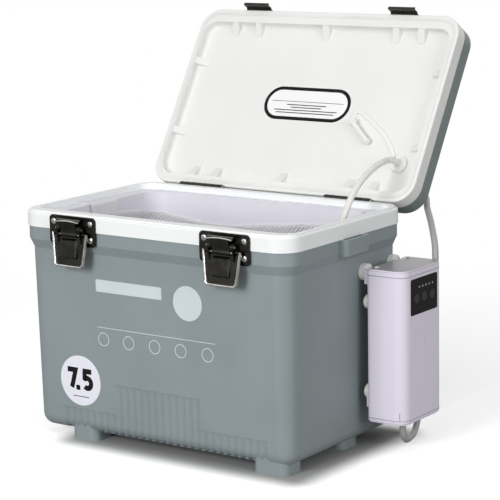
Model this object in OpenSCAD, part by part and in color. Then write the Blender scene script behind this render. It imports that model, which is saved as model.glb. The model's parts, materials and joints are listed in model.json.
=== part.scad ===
/* [Box] */
// Width of the rim, left to right
box_w = 305; // [280:1:340]
// Depth of the rim, front to back
box_d = 195; // [180:1:225]
// Height of the rim's top above the flat underside
box_h = 207.3; // [195:0.1:230]
// Corner radius of the rim and the lid
rim_r = 21.5; // [20.5:0.5:25]
// Height of the white rim band
rim_band = 13.8; // [12:0.1:18]
// Height of the raised lip on the rim
lip_h = 1.5; // [1:0.1:2]
// How far the lip stands in from the rim's edge
lip_inset = 3; // [2:0.1:4]
// Width of the rim's top at the sides
rim_side = 7; // [6.5:0.1:10]
// Width of the rim's top at the front
rim_front = 14.3; // [11:0.1:18]
// Width of the rim's top at the back
rim_back = 10; // [9:0.1:14]
// Depth of the ledge that carries the liner's flange
ledge_drop = 4.3; // [3:0.1:6]
// Step in from the rim to the collar under it
collar_step = 1; // [0.5:0.1:2]
// Height of the collar's upright part
collar_h = 12; // [8:0.5:16]
// Height of the collar's sloping underside
collar_slope = 8.7; // [5:0.1:12]
// Step in from the rim to the wall under the collar
wall_step = 5; // [4:0.1:7]
// How much further in the wall stands at the bottom
wall_taper = 3; // [1:0.1:4]
// Radius of the shell's bottom edge
bottom_r = 12; // [6:0.5:12]
// Thickness of the outer shell
shell_t = 3; // [2:0.1:4]

/* [Flutes] */
// Distance between the ribs at the bottom of the front
flute_pitch = 8.1; // [6:0.1:12]
// Depth of a flute between two ribs
flute_depth = 1.6; // [0.6:0.1:1.6]
// Height of the outer flutes
flute_low = 23; // [18:1:40]
// Height of the middle flutes
flute_tall = 51.4; // [42:0.1:70]
// Number of flutes across the front
flute_count = 29; // [10:1:29]
// Number of tall flutes in the middle
flute_mid = 12; // [2:2:14]
// How far to the right of the middle the row of flutes stands
flute_shift = 4.05; // [0:0.05:5]

/* [Feet] */
// Height of the feet
foot_h = 8.5; // [4:0.5:10]
// Length of a foot along the front
foot_w = 28; // [24:1:34]
// Depth of a foot
foot_d = 29; // [24:1:30]

/* [Liner and net] */
// Width of the liner's mouth
liner_w = 259; // [240:1:262]
// Depth of the liner's mouth
liner_d = 153; // [140:1:156]
// How much smaller the liner's floor is on each side
liner_taper = 2.5; // [1:0.5:5]
// Height of the liner's floor above the underside
liner_floor = 25; // [18:0.5:40]
// Thickness of the liner
liner_t = 2.5; // [1.5:0.1:3]
// Corner radius of the liner's mouth
liner_r = 20; // [12:1:30]
// Height of the net bag's hem above the underside
net_top = 186; // [150:1:192]
// Thickness of the net
net_t = 1; // [0.8:0.1:2]
// Gap between the net and the liner
net_gap = 1.2; // [0.5:0.1:3]
// Width of a net hanger tab
tab_w = 38; // [20:1:60]

/* [Lid] */
// Thickness of the lid
lid_t = 31.7; // [28:0.1:40]
// Height of the lid's white band
lid_band = 13.9; // [12:0.1:18]
// Depth of the recess in the lid's inner face
recess_depth = 9; // [6:0.5:11]
// Gap between the closed lid and the rim's lip
lid_gap = 0.5; // [0.3:0.1:1]
// Angle that the lid is open in the photograph
lid_open = 121.5; // [95:0.5:125]
// Width of the label plate
label_w = 101; // [60:1:120]
// Height of the label plate
label_h = 36; // [24:1:50]
// Distance of the hose hole from the lid's middle, to the right
grommet_x = 124; // [100:1:126]
// Distance of the hose hole from the lid's middle, to the back
grommet_y = 56; // [30:1:62]
// Outer diameter of the grommet's flange
grommet_d = 17.5; // [16:0.5:24]

/* [Hinges and latches] */
// Distance of a hinge or latch from the middle
latch_x = 86; // [70:1:95]
// Width of a latch's base plate
plate_w = 54; // [50:1:60]
// Height of a latch's base plate
plate_h = 27.3; // [26:0.1:28]
// Thickness of the hinge and latch plates
plate_t = 1.5; // [1:0.1:1.5]
// Width of a hinge
hinge_w = 50; // [40:1:60]
// Radius of a hinge knuckle
knuckle_r = 3.2; // [2.8:0.1:3.2]
// Radius of a hinge pin
hinge_pin_r = 1.5; // [1:0.1:1.8]
// Radius of a latch pin
latch_pin_r = 1.2; // [0.9:0.1:1.3]
// Running gap between a pin and its bore
pin_gap = 0.05; // [0.02:0.01:0.1]

/* [Pump] */
// Width of the pump case along the box's end
pump_w = 70; // [64:1:80]
// Thickness of the pump case
pump_t = 39.5; // [36:0.5:46]
// Height of the pump case
pump_h = 141.6; // [135:0.1:155]
// Distance of the pump's middle behind the box's middle
pump_y = 52; // [46:1:56]
// Height of the pump's underside
pump_z = 21; // [16:0.5:26]
// Radius of the pump's outer corners
pump_r = 11; // [8:0.5:13]
// Gap between the box's wall and the pump
pump_gap = 10.7; // [9:0.1:14]
// Wall of the pump case
pump_wall = 2.2; // [1.6:0.1:3]
// Height of the pump's top cap
top_cap_h = 5.6; // [5:0.1:8]
// Height of the pump's bottom cap
bottom_cap_h = 4.2; // [3.5:0.1:7]
// Width of the control window
window_w = 46.6; // [44:0.1:47]
// Height of the control window
window_h = 33; // [30:0.5:40]
// Travel of a button
button_travel = 1; // [0.5:0.1:1.2]
// Outer diameter of the air hose
hose_d = 6; // [4:0.5:7]

/* [Hidden] */
$fn = 48;
eps = 0.02;
gap = 0.3;
rim_z = box_h - rim_band;
collar_z = rim_z - collar_h;
wall_z = collar_z - collar_slope;
front = -box_d / 2;
back = box_d / 2;
wall_lean = atan(wall_taper / wall_z);

// Profile of a rounded upright wall, out from a corner's axis, with a rounded bottom edge
module wall_profile(r_top, taper, z_top, fillet) {
  lean = atan(taper / z_top);
  r_bottom = r_top - taper;
  // centre of the bottom round, and the points where it meets the wall and the floor
  cu = r_bottom + fillet * tan(lean) - fillet / cos(lean);
  tu = cu + fillet * cos(lean);
  tz = fillet - fillet * sin(lean);
  intersection() {
    translate([0, -1]) square([r_top + 1, z_top + 1]);
    union() {
      polygon([[-fillet, 0], [cu, 0], [cu, fillet], [tu, tz], [r_top, z_top], [-fillet, z_top]]);
      translate([cu, fillet]) circle(r = fillet);
    }
  }
}

// A box form with rounded corners: the children are a profile out from the corner's axis
module ring_of_profile(w, d, r) {
  cx = w / 2 - r;
  cy = d / 2 - r;
  for (q = [[1, 1, 0], [-1, 1, 90], [-1, -1, 180], [1, -1, 270]])
    translate([q[0] * cx, q[1] * cy, 0]) rotate([0, 0, q[2]]) rotate_extrude(angle = 90) children();
  for (s = [-1, 1]) {
    translate([s * cx, -s * cy, 0]) rotate([90, 0, s > 0 ? 0 : 180])
      translate([0, 0, -2 * cy]) linear_extrude(2 * cy) children();
    translate([s * cx, s * cy, 0]) rotate([90, 0, s > 0 ? 90 : -90])
      translate([0, 0, -2 * cx]) linear_extrude(2 * cx) children();
  }
}

// A plate with rounded corners, standing on z = 0
module rounded_slab(w, d, r, h) {
  cx = w / 2 - r;
  cy = d / 2 - r;
  translate([-cx, -d / 2, 0]) cube([2 * cx, d, h]);
  translate([-w / 2, -cy, 0]) cube([w, 2 * cy, h]);
  for (sx = [-1, 1]) for (sy = [-1, 1]) translate([sx * cx, sy * cy, 0]) cylinder(r = r, h = h);
}

// The same plate given by its inset from the rim's edge, front and back apart
module rim_slab(side, at_front, at_back, h) {
  translate([0, (at_front - at_back) / 2, 0])
    rounded_slab(box_w - 2 * side, box_d - at_front - at_back, max(rim_r - side, 4), h);
}

// Outer form of the grey box, drawn in by inset
module box_form(inset, z_top) {
  r = rim_r - wall_step - inset;
  w = box_w - 2 * wall_step - 2 * inset;
  d = box_d - 2 * wall_step - 2 * inset;
  translate([0, 0, inset]) {
    ring_of_profile(w, d, r) wall_profile(r, wall_taper, wall_z - inset, bottom_r - inset);
    translate([-w / 2 + r, -d / 2 + r, 0]) cube([w - 2 * r, d - 2 * r, wall_z - inset]);
  }
  translate([0, 0, wall_z]) {
    ring_of_profile(w, d, r) polygon([[0, -eps], [r, -eps], [r, 0],
      [r + wall_step - collar_step, collar_slope],
      [r + wall_step - collar_step, z_top - wall_z], [0, z_top - wall_z]]);
    translate([-w / 2 + r, -d / 2 + r, -eps]) cube([w - 2 * r, d - 2 * r, z_top - wall_z + eps]);
  }
}

// x of the box's wall at a height
function wall_x(z) = box_w / 2 - wall_step - wall_taper * (wall_z - z) / wall_z;

// Screws: a low dome with a slot of its own and a shank; they point along +Z, the head up
screw_r = 1.6;
screw_len = 5;
head_r = 2.7;
head_h = 1.3;
module screw() {
  difference() {
    union() {
      cylinder(r = head_r, h = head_h * 0.45);
      translate([0, 0, head_h * 0.45]) cylinder(r1 = head_r, r2 = head_r * 0.55, h = head_h * 0.55, $fn = 24);
      translate([0, 0, -screw_len]) cylinder(r = screw_r, h = screw_len + eps);
    }
    for (a = [0, 90]) rotate([0, 0, a])
      translate([-head_r * 0.55, -0.25, head_h * 0.5]) cube([head_r * 1.1, 0.5, head_h]);
  }
}
module screw_hole() {
  translate([0, 0, -screw_len - 0.2]) cylinder(r = screw_r + 0.1, h = screw_len + 4);
}

latch_screw_x = 21.5;
screw_low = 6.3;
screw_high = 6;
latch_screw_z = [box_h - plate_h + screw_low, box_h - screw_high];
hinge_screw_x = 18;
plate_z = box_h - plate_h;
module latch_screw_places() {
  for (s = [-1, 1]) for (u = [-1, 1]) for (z = latch_screw_z)
    translate([s * latch_x + u * latch_screw_x, front - plate_t, z]) rotate([90, 0, 0]) children();
}
module hinge_body_screw_places() {
  for (s = [-1, 1]) for (u = [-1, 1]) for (z = [plate_z + screw_low, rim_z + screw_high])
    translate([s * latch_x + u * hinge_screw_x, back + plate_t, z]) rotate([-90, 0, 0]) children();
}

// Flutes on the front wall: round-bottomed grooves that follow the wall and turn under its edge
flute_r = 5.5;
flute_turn = 80;
module flute(x, h) {
  sink = flute_r - flute_depth;
  cy = front + wall_step + wall_taper + bottom_r / cos(wall_lean) - bottom_r * tan(wall_lean);
  translate([x, cy, bottom_r]) {
    rotate([wall_lean, 0, 0]) translate([0, -bottom_r - sink, 0]) cylinder(r = flute_r, h = h - bottom_r);
    rotate([0, 90, 0]) rotate([0, 0, -90 - wall_lean]) rotate_extrude(angle = flute_turn + wall_lean)
      translate([bottom_r + sink, 0]) circle(r = flute_r);
  }
}
// Feet: x and y of the middle, and how much longer than foot_w the foot is
foot_front = front + foot_d / 2 + 10.5;
foot_back = back - foot_d / 2 - 11.5;
foot_mid = 24;
foot_left = -box_w / 2 + 61;
foot_right = box_w / 2 - 32;
foot_places = [[foot_left, foot_front, 2], [foot_right, foot_front, 8], [foot_right + 4, foot_mid, -6],
  [foot_left, foot_mid, 0], [foot_left, foot_back, 0], [-foot_left, foot_back, 0]];
foot_r = 8;
module feet() {
  for (p = foot_places) translate([p[0], p[1], -foot_h])
    rounded_slab(foot_w + p[2], foot_d, foot_r, foot_h + bottom_r);
}

// Slotted lugs on the box's ends, right under the rim
lug_d = 39;
lug_out = 7;
lug_h = 14.5;
lug_slot_w = 30;
lug_slot_t = 4;
lug_r = 4;
lug_y = 3;
module lugs() {
  x0 = box_w / 2 - collar_step - 2;
  for (s = [-1, 1]) translate([0, lug_y, rim_z - lug_h]) difference() {
    translate([s * x0, 0, 0]) rounded_slab(2 * (lug_out + 3), lug_d, lug_r, lug_h);
    translate([s * (box_w / 2 + 1.6) - lug_slot_t / 2, -lug_slot_w / 2, -1])
      cube([lug_slot_t, lug_slot_w, lug_h + 2]);
  }
}

stud_r = 7.8;
stud_dx = 24.2;
stud_z = 157.3;
stud_shank_r = 3;
module stud_places() {
  for (s = [-1, 1]) translate([0, pump_y + s * stud_dx, stud_z]) rotate([0, 90, 0]) children();
}
pump_x = wall_x(stud_z) + pump_gap;

module outer_shell() {
  color([0.56, 0.60, 0.61]) difference() {
    union() {
      difference() {
        box_form(0, rim_z);
        for (i = [0 : flute_count - 1]) {
          x = flute_shift + (i - (flute_count - 1) / 2) * flute_pitch;
          flute(x, abs(x) < flute_mid / 2 * flute_pitch ? flute_tall : flute_low);
        }
      }
      feet();
      lugs();
    }
    box_form(shell_t, rim_z + 1);
    latch_screw_places() screw_hole();
    hinge_body_screw_places() screw_hole();
    stud_places() cylinder(r = stud_shank_r + 0.1, h = box_w);
  }
}

// Cross-section of a slab's edge with its top and bottom edges rounded
module edge_profile(r, h, top, bottom) {
  translate([0, bottom]) square([r - top, h - bottom]);
  square([r - bottom, h - top]);
  translate([0, bottom]) square([r, h - top - bottom]);
  if (top > 0) translate([r - top, h - top]) circle(r = top);
  if (bottom > 0) translate([r - bottom, bottom]) circle(r = bottom);
}
module soft_slab(w, d, r, h, top, bottom) {
  ring_of_profile(w, d, r) edge_profile(r, h, top, bottom);
  translate([-w / 2 + r, -d / 2 + r, 0]) cube([w - 2 * r, d - 2 * r, h]);
}

// A profile drawn in the (y, z) plane, drawn out by w along x about the middle
module across(w) {
  rotate([90, 0, 90]) translate([0, 0, -w / 2]) linear_extrude(w) children();
}

// Liner form: the inside of the box, grown or drawn in by grow
liner_y = 1;
flange_z = box_h - ledge_drop - liner_t;
liner_bottom_r = 12;
module liner_form(grow, z_top) {
  h = z_top - liner_floor + grow;
  r = liner_r + grow;
  w = liner_w + 2 * grow;
  d = liner_d + 2 * grow;
  translate([0, liner_y, liner_floor - grow]) {
    ring_of_profile(w, d, r) wall_profile(r, liner_taper, h, liner_bottom_r);
    translate([-w / 2 + r, -d / 2 + r, 0]) cube([w - 2 * r, d - 2 * r, h]);
  }
}

module body_foam() {
  color([0.93, 0.90, 0.78]) difference() {
    box_form(shell_t + gap, rim_z - gap);
    liner_form(liner_t + gap, rim_z + 2);
    stud_places() cylinder(r = stud_shank_r + 1, h = box_w);
  }
}

module inner_liner() {
  color([0.87, 0.87, 0.90]) difference() {
    union() {
      liner_form(liner_t, flange_z + eps);
      translate([0, 0, flange_z]) rim_slab(rim_side + gap, rim_front + gap, rim_back + gap, liner_t);
    }
    liner_form(0, flange_z + liner_t + 2);
  }
}

hinge_y = back + 2.25;
hinge_z = box_h + 0.4;
relief_r = knuckle_r + 0.4;
module hinge_relief() {
  for (s = [-1, 1]) translate([s * latch_x - hinge_w / 2 - 1, hinge_y, hinge_z]) rotate([0, 90, 0])
    cylinder(r = relief_r, h = hinge_w + 2);
}

rim_edge_r = 1.5;
module rim_frame() {
  lower_w = liner_w + 2 * liner_t + 2 * gap;
  lower_d = liner_d + 2 * liner_t + 2 * gap;
  color([0.96, 0.97, 0.97]) difference() {
    union() {
      translate([0, 0, rim_z]) soft_slab(box_w, box_d, rim_r, rim_band, rim_edge_r, 0);
      translate([0, 0, box_h - eps]) rim_slab(lip_inset, lip_inset, lip_inset, lip_h + eps);
    }
    translate([0, 0, flange_z]) rim_slab(rim_side, rim_front, rim_back, rim_band);
    translate([0, liner_y, rim_z - 1])
      rounded_slab(lower_w, lower_d, liner_r + liner_t + gap, rim_band);
    hinge_relief();
    latch_screw_places() screw_hole();
    hinge_body_screw_places() screw_hole();
  }
}

module net_bag() {
  color([0.95, 0.95, 0.96]) difference() {
    liner_form(-net_gap, flange_z);
    liner_form(-net_gap - net_t, flange_z + 1);
    translate([-box_w / 2, -box_d / 2, net_top]) cube([box_w, box_d, box_h]);
  }
}

// Hanger tabs: a strap that lies on the liner's flange and turns down inside to the net's hem
tab_t = 0.8;
ledge_w = box_w / 2 - rim_side - liner_w / 2;
tab_share = 0.7;
tab_reach = tab_share * ledge_w;
module net_hangers() {
  z = flange_z + liner_t + gap / 3;
  x1 = liner_w / 2;
  color([0.95, 0.95, 0.96]) for (s = [-1, 1]) translate([0, -2, 0]) {
    translate([s > 0 ? x1 - net_gap - tab_t : -x1 - tab_reach, -tab_w / 2, z])
      cube([tab_reach + net_gap + tab_t, tab_w, tab_t]);
    translate([s > 0 ? x1 - net_gap - tab_t : -x1 + net_gap, -tab_w / 2, net_top + 0.1])
      cube([tab_t, tab_w, z - net_top]);
  }
}

sticker_in = 63;
sticker_x = -box_w / 2 + sticker_in;
sticker_z = 50;
sticker_r = 24;
sticker_t = 0.4;
function wall_y(z) = front + wall_step + wall_taper * (wall_z - z) / wall_z;
module capacity_sticker() {
  color([0.90, 0.90, 0.94]) translate([sticker_x, wall_y(sticker_z), sticker_z])
    rotate([90 + wall_lean, 0, 0]) cylinder(r = sticker_r, h = sticker_t);
}

stud_disc = 6.5;
stud_neck_r = 4;
stud_head_r = 6;
stud_head_t = 2.5;
cover_t = 3;
module hanger_studs() {
  x0 = wall_x(stud_z + stud_r) + 0.1;
  color([0.95, 0.95, 0.94]) stud_places() {
    translate([0, 0, x0 - 3.2]) cylinder(r = stud_shank_r, h = 3.4);
    translate([0, 0, x0]) cylinder(r = stud_r, h = stud_disc);
    translate([0, 0, x0]) cylinder(r = stud_neck_r, h = pump_x + cover_t + gap - x0 + 0.5);
    translate([0, 0, pump_x + cover_t + gap]) cylinder(r = stud_head_r, h = stud_head_t);
  }
}

// Hinges: the two body leaves have three knuckles, the lid leaves the two between them
knuckle_gap = 0.3;
body_knuckles = [[-0.5, -0.3], [-0.1, 0.1], [0.3, 0.5]];
lid_knuckles = [[-0.3, -0.1], [0.1, 0.3]];
module knuckle_row(rows, bore, up) {
  for (k = rows) {
    x0 = k[0] * hinge_w + (up ? knuckle_gap : 0);
    len = (k[1] - k[0]) * hinge_w - (up ? 2 * knuckle_gap : 0);
    difference() {
      union() {
        translate([x0, hinge_y, hinge_z]) rotate([0, 90, 0]) cylinder(r = knuckle_r, h = len);
        translate([x0, back, up ? hinge_z : hinge_z - knuckle_r - 2])
          cube([len, plate_t, knuckle_r + 2]);
      }
      translate([x0 - 1, hinge_y, hinge_z]) rotate([0, 90, 0]) cylinder(r = bore, h = len + 2);
    }
  }
}

// The lid's open leaf comes to rest on a rib of the body leaf
function turned(y, z) = [y * cos(lid_open) + z * sin(lid_open), -y * sin(lid_open) + z * cos(lid_open)];
leaf_face = back + plate_t - hinge_y;
stop_w = 16;
rib_low = 5;
rib_high = 13;
leaf_h = 25;
module hinge_body_leaves() {
  top = hinge_z - knuckle_r - gap;
  root = leaf_face - 0.2;
  a = turned(leaf_face + gap, rib_low);
  b = turned(leaf_face + gap, rib_high);
  color([0.17, 0.17, 0.17]) for (s = [-1, 1]) translate([s * latch_x, 0, 0]) difference() {
    union() {
      translate([-hinge_w / 2, back, plate_z]) cube([hinge_w, plate_t, top - plate_z]);
      translate([-hinge_w / 2, back - collar_step, plate_z])
        cube([hinge_w, collar_step + eps, rim_z - gap - plate_z]);
      knuckle_row(body_knuckles, hinge_pin_r + 0.02, false);
      translate([0, hinge_y, hinge_z]) across(stop_w)
        polygon([a, b, [b[0], b[1] - 2.6], [root, -22], [root, -6]]);
    }
    translate([-s * latch_x, 0, 0]) hinge_body_screw_places() screw_hole();
  }
}
module hinge_body_screws() {
  color([0.75, 0.75, 0.75]) hinge_body_screw_places() screw();
}
module hinge_pins() {
  color([0.5, 0.5, 0.5]) for (s = [-1, 1]) translate([s * latch_x - hinge_w / 2 - 1, hinge_y, hinge_z])
    rotate([0, 90, 0]) {
      cylinder(r = hinge_pin_r, h = hinge_w + 2);
      translate([0, 0, -1]) cylinder(r = hinge_pin_r + 0.9, h = 1);
      translate([0, 0, hinge_w + 2]) cylinder(r = hinge_pin_r + 0.9, h = 1);
    }
}

// The lid, drawn closed and then swung open about the hinge axis
lid_z = box_h + lip_h + lid_gap;
lid_edge_r = 5;
panel_edge_r = 1.5;
recess_side = 7.5;
module lid_pose() {
  translate([0, hinge_y, hinge_z]) rotate([-lid_open, 0, 0]) translate([0, -hinge_y, -hinge_z]) children();
}
lid_screw_z = [lid_z + 8.5, lid_z + 20];
module hinge_lid_screw_places() {
  for (s = [-1, 1]) for (u = [-1, 1]) for (z = lid_screw_z)
    translate([s * latch_x + u * hinge_screw_x, back + plate_t, z]) rotate([-90, 0, 0]) children();
}
keeper_w = 30;
keeper_screw_x = 9;
keeper_screw_z = lid_z + 7;
module keeper_screw_places() {
  for (s = [-1, 1]) for (u = [-1, 1])
    translate([s * latch_x + u * keeper_screw_x, front - plate_t, keeper_screw_z])
      rotate([90, 0, 0]) children();
}
sleeve_r = 8;
module grommet_hole() {
  translate([grommet_x, grommet_y, lid_z - 1]) cylinder(r = sleeve_r + 0.1, h = lid_t + 2);
}
gasket_in = 3.5;
gasket_w = 3;
gasket_t = 2;
module gasket_ring(slack) {
  a = gasket_in - slack;
  b = gasket_in + gasket_w + slack;
  difference() {
    rim_slab(a, a, a, gasket_t);
    translate([0, 0, -1]) rim_slab(b, b, b, gasket_t + 2);
  }
}

// Moulded gussets at the recess's edge
gusset_w = 7;
gusset_len = 12.5;
gusset_y = box_d / 2 - 58.5;
gusset_x = [-1, -0.74, 0, 0.74, 1] * (box_w / 2 - 42.5);
module gusset(x, y, turn) {
  translate([x, y, lid_z]) rotate([0, 0, turn]) across(gusset_w)
    polygon([[-1, 1.2], [1, 1.2], [gusset_len, recess_depth - 0.6], [gusset_len, recess_depth + 0.5],
      [-1, recess_depth + 0.5]]);
}
module gussets() {
  y0 = front + rim_front;
  y1 = back - rim_back;
  x1 = box_w / 2 - recess_side;
  for (x = gusset_x) gusset(x, y0, 0);
  for (x = gusset_x) gusset(x * 0.96, y1, 180);
  for (y = [-1, 1] * gusset_y) {
    gusset(x1, y, 90);
    gusset(-x1, y, -90);
  }
}

recess_round = 4;
module lid_inner_panel() {
  rw = box_w - 2 * recess_side;
  rd = box_d - rim_front - rim_back;
  color([0.93, 0.93, 0.92]) lid_pose() difference() {
    union() {
      difference() {
        translate([0, 0, lid_z]) soft_slab(box_w, box_d, rim_r, lid_band, 0, panel_edge_r);
        translate([0, (rim_front - rim_back) / 2, lid_z - recess_round])
          soft_slab(rw, rd, rim_r - recess_side, recess_depth + recess_round, recess_round, 0);
      }
      gussets();
    }
    translate([0, 0, lid_z - eps]) gasket_ring(0.1);
    hinge_relief();
    grommet_hole();
    hinge_lid_screw_places() screw_hole();
    keeper_screw_places() screw_hole();
  }
}
module lid_gasket() {
  color([0.88, 0.89, 0.88]) lid_pose() translate([0, 0, lid_z - 0.2]) gasket_ring(0);
}
module lid_outer_shell() {
  h = lid_t - lid_band;
  color([0.42, 0.44, 0.44]) lid_pose() difference() {
    translate([0, 0, lid_z + lid_band]) soft_slab(box_w, box_d, rim_r, h, lid_edge_r, 0);
    translate([0, 0, lid_z + lid_band - 1])
      soft_slab(box_w - 2 * shell_t, box_d - 2 * shell_t, rim_r - shell_t, h - shell_t + 1,
        lid_edge_r - shell_t, 0);
    grommet_hole();
    hinge_lid_screw_places() screw_hole();
  }
}
module lid_foam() {
  h = lid_t - lid_band - shell_t - 2 * gap;
  t = shell_t + gap;
  color([0.93, 0.90, 0.78]) lid_pose() difference() {
    translate([0, 0, lid_z + lid_band + gap])
      soft_slab(box_w - 2 * t, box_d - 2 * t, rim_r - t, h, max(lid_edge_r - t, 0.5), 0);
    grommet_hole();
    hinge_lid_screw_places() screw_hole();
  }
}
module hinge_lid_leaves() {
  bottom = hinge_z + knuckle_r + gap;
  color([0.17, 0.17, 0.17]) lid_pose() for (s = [-1, 1]) translate([s * latch_x, 0, 0]) difference() {
    union() {
      translate([-hinge_w / 2, back, bottom]) cube([hinge_w, plate_t, lid_z + leaf_h - bottom]);
      knuckle_row(lid_knuckles, hinge_pin_r + pin_gap, true);
    }
    translate([-s * latch_x, 0, 0]) hinge_lid_screw_places() screw_hole();
  }
}
module hinge_lid_screws() {
  color([0.75, 0.75, 0.75]) lid_pose() hinge_lid_screw_places() screw();
}

// Keeper: its flange stands over the latch's base plate when the lid is closed
keeper_in = plate_t + gap;
keeper_t = 1;
keeper_reach = 4.5;
keeper_top = box_h - 3.8;
module lid_keepers() {
  y0 = -keeper_in;
  y1 = -keeper_in - keeper_t;
  low = keeper_top - keeper_t;
  color([0.17, 0.17, 0.17]) lid_pose() difference() {
    for (s = [-1, 1]) translate([s * latch_x, front, 0]) across(keeper_w)
      polygon([[0, lid_z + 14], [0, lid_z + 1], [y0, lid_z - 0.7], [y0, low], [-keeper_reach, low],
        [-keeper_reach, keeper_top], [y1, keeper_top], [y1, lid_z - 0.2], [-plate_t, lid_z + 1.2],
        [-plate_t, lid_z + 14]]);
    keeper_screw_places() screw_hole();
  }
}
module keeper_screws() {
  color([0.75, 0.75, 0.75]) lid_pose() keeper_screw_places() screw();
}

floor_z = lid_z + recess_depth;
label_t = 0.4;
module lid_label() {
  r = label_h / 2;
  color([0.95, 0.95, 0.95]) lid_pose() translate([1, 0, floor_z - label_t]) {
    translate([-label_w / 2 + r, -r, 0]) cube([label_w - 2 * r, 2 * r, label_t]);
    for (s = [-1, 1]) translate([s * (label_w / 2 - r), 0, 0]) cylinder(r = r, h = label_t);
  }
}

flange_in = 3;
flange_out = 2;
hose_bore = hose_d / 2 - 1.2;
module hose_grommet() {
  color([0.92, 0.92, 0.91]) lid_pose() translate([grommet_x, grommet_y, 0]) difference() {
    union() {
      translate([0, 0, floor_z - flange_in]) cylinder(r = grommet_d / 2, h = flange_in);
      translate([0, 0, floor_z - eps]) cylinder(r = sleeve_r, h = lid_t - recess_depth + 2 * eps);
      translate([0, 0, lid_z + lid_t]) cylinder(r = grommet_d / 2, h = flange_out);
    }
    translate([0, 0, lid_z]) cylinder(r = hose_bore, h = lid_t + 4);
  }
}

// The grommet's spare plug, on a moulded strap that lies against the lid's inner panel
strap_w = 4;
strap_t = 1.1;
strap_route = [[116.5, 48.5], [102.5, 30.5], [84, 16], [68, 6], [59.5, 6.5], [59.5, 11.5]];
plug_from = [61.6, 17];
plug_to = [86, 38];
plug_head_r = 4.6;
plug_stem_r = 2.8;
module plug_strap() {
  color([0.94, 0.94, 0.94]) lid_pose() translate([0, 0, floor_z - 0.2 - strap_t])
    for (i = [0 : len(strap_route) - 2]) {
      p = strap_route[i];
      q = strap_route[i + 1];
      run = norm(q - p);
      translate([p[0], p[1], 0]) rotate([0, 0, atan2(q[1] - p[1], q[0] - p[0])]) {
        translate([0, -strap_w / 2, 0]) cube([run, strap_w, strap_t]);
        translate([run, 0, 0]) cylinder(r = strap_w / 2 + 0.1, h = strap_t);
      }
    }
}
module grommet_plug() {
  run = norm(plug_to - plug_from);
  turn = atan2(plug_to[1] - plug_from[1], plug_to[0] - plug_from[0]);
  color([0.94, 0.94, 0.94]) lid_pose()
    translate([plug_from[0], plug_from[1], floor_z - 0.3 - plug_head_r]) rotate([0, 0, turn])
      rotate([0, 90, 0]) {
        cylinder(r = plug_head_r, h = 3);
        cylinder(r = plug_stem_r, h = run);
        translate([0, 0, run - 2]) cylinder(r = plug_stem_r + 0.6, h = 1.2);
      }
}

// Latch places, measured out from the rim's face: pivot of the lever, and pin of the hook
pivot_out = 5.6;
pivot_z = box_h - 11.3;
hook_pin_out = 5.2;
hook_pin_z = box_h - 16.4;
ear_r = 2.8;
ear_in = 10.5;
ear_t = 1.5;
arm_in = 12.5;
arm_t = 1.5;
arm_r = 3;
pin_end = arm_in + arm_t;
module latch_at(s) {
  translate([s * latch_x, front, 0]) children();
}
// A round bar or bore along x, at a distance out from the rim's face
module bar(out, z, r, x0, len) {
  translate([x0, -out, z]) rotate([0, 90, 0]) cylinder(r = r, h = len);
}

plate_corner = 4;
module latch_base(s) {
  h = plate_h - 2 * plate_corner;
  color([0.14, 0.14, 0.14]) difference() {
    latch_at(s) {
      difference() {
        union() {
          translate([0, 0, plate_z + plate_h / 2]) rotate([90, 0, 0])
            rounded_slab(plate_w, plate_h, plate_corner, plate_t);
          translate([-plate_w / 2 + plate_corner, -eps, plate_z + 1])
            cube([plate_w - 2 * plate_corner, collar_step + eps, rim_z - gap - plate_z - 1]);
          for (u = [-ear_in - ear_t, ear_in]) {
            bar(pivot_out, pivot_z, ear_r, u, ear_t);
            translate([u, -pivot_out, pivot_z - ear_r]) cube([ear_t, pivot_out - plate_t / 2, 2 * ear_r]);
          }
        }
        bar(pivot_out, pivot_z, latch_pin_r + 0.02, -plate_w / 2, plate_w);
      }
    }
    latch_screw_places() screw_hole();
  }
}
module latch_left_base() { latch_base(-1); }
module latch_right_base() { latch_base(1); }
module latch_screws() {
  color([0.6, 0.6, 0.6]) latch_screw_places() screw();
}
module latch_pivots() {
  color([0.5, 0.5, 0.5]) for (s = [-1, 1]) latch_at(s) for (u = [-1, 1]) {
    bar(pivot_out, pivot_z, latch_pin_r, u > 0 ? ear_in - gap : -pin_end - gap - eps, pin_end + 2 * gap - ear_in);
    bar(pivot_out, pivot_z, latch_pin_r + 0.7, u > 0 ? pin_end + gap : -pin_end - gap - 0.8, 0.8);
  }
}

// Lever: a pressed tray with a rolled edge and a raised pad, hung by two arms from the pivot
lever_top = 20.5;
lever_low = 17.3;
lever_len = 27.6;
lever_horn = 4.2;
lever_slot = pin_end + 0.5;
lever_corner = 5;
lever_t = 1.2;
bead_w = 1.6;
bead_t = 3;
lever_tilt = 5.5;
lever_out = 4;
lever_z = hook_pin_z - 2.6;
pad_w = 21;
pad_low = 17.6;
pad_t = 3.8;
module lever_outline(i) {
  low = lever_corner - lever_len;
  difference() {
    union() {
      polygon([[-lever_top + i, lever_horn - i], [-lever_low + i, low], [lever_low - i, low],
        [lever_top - i, lever_horn - i]]);
      translate([lever_corner - lever_low, -lever_len + i])
        square([2 * (lever_low - lever_corner), lever_corner]);
      for (u = [-1, 1]) translate([u * (lever_low - lever_corner), low]) circle(r = lever_corner - i);
    }
    translate([-lever_slot, 0]) square([2 * lever_slot, lever_horn + 1]);
  }
}
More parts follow.
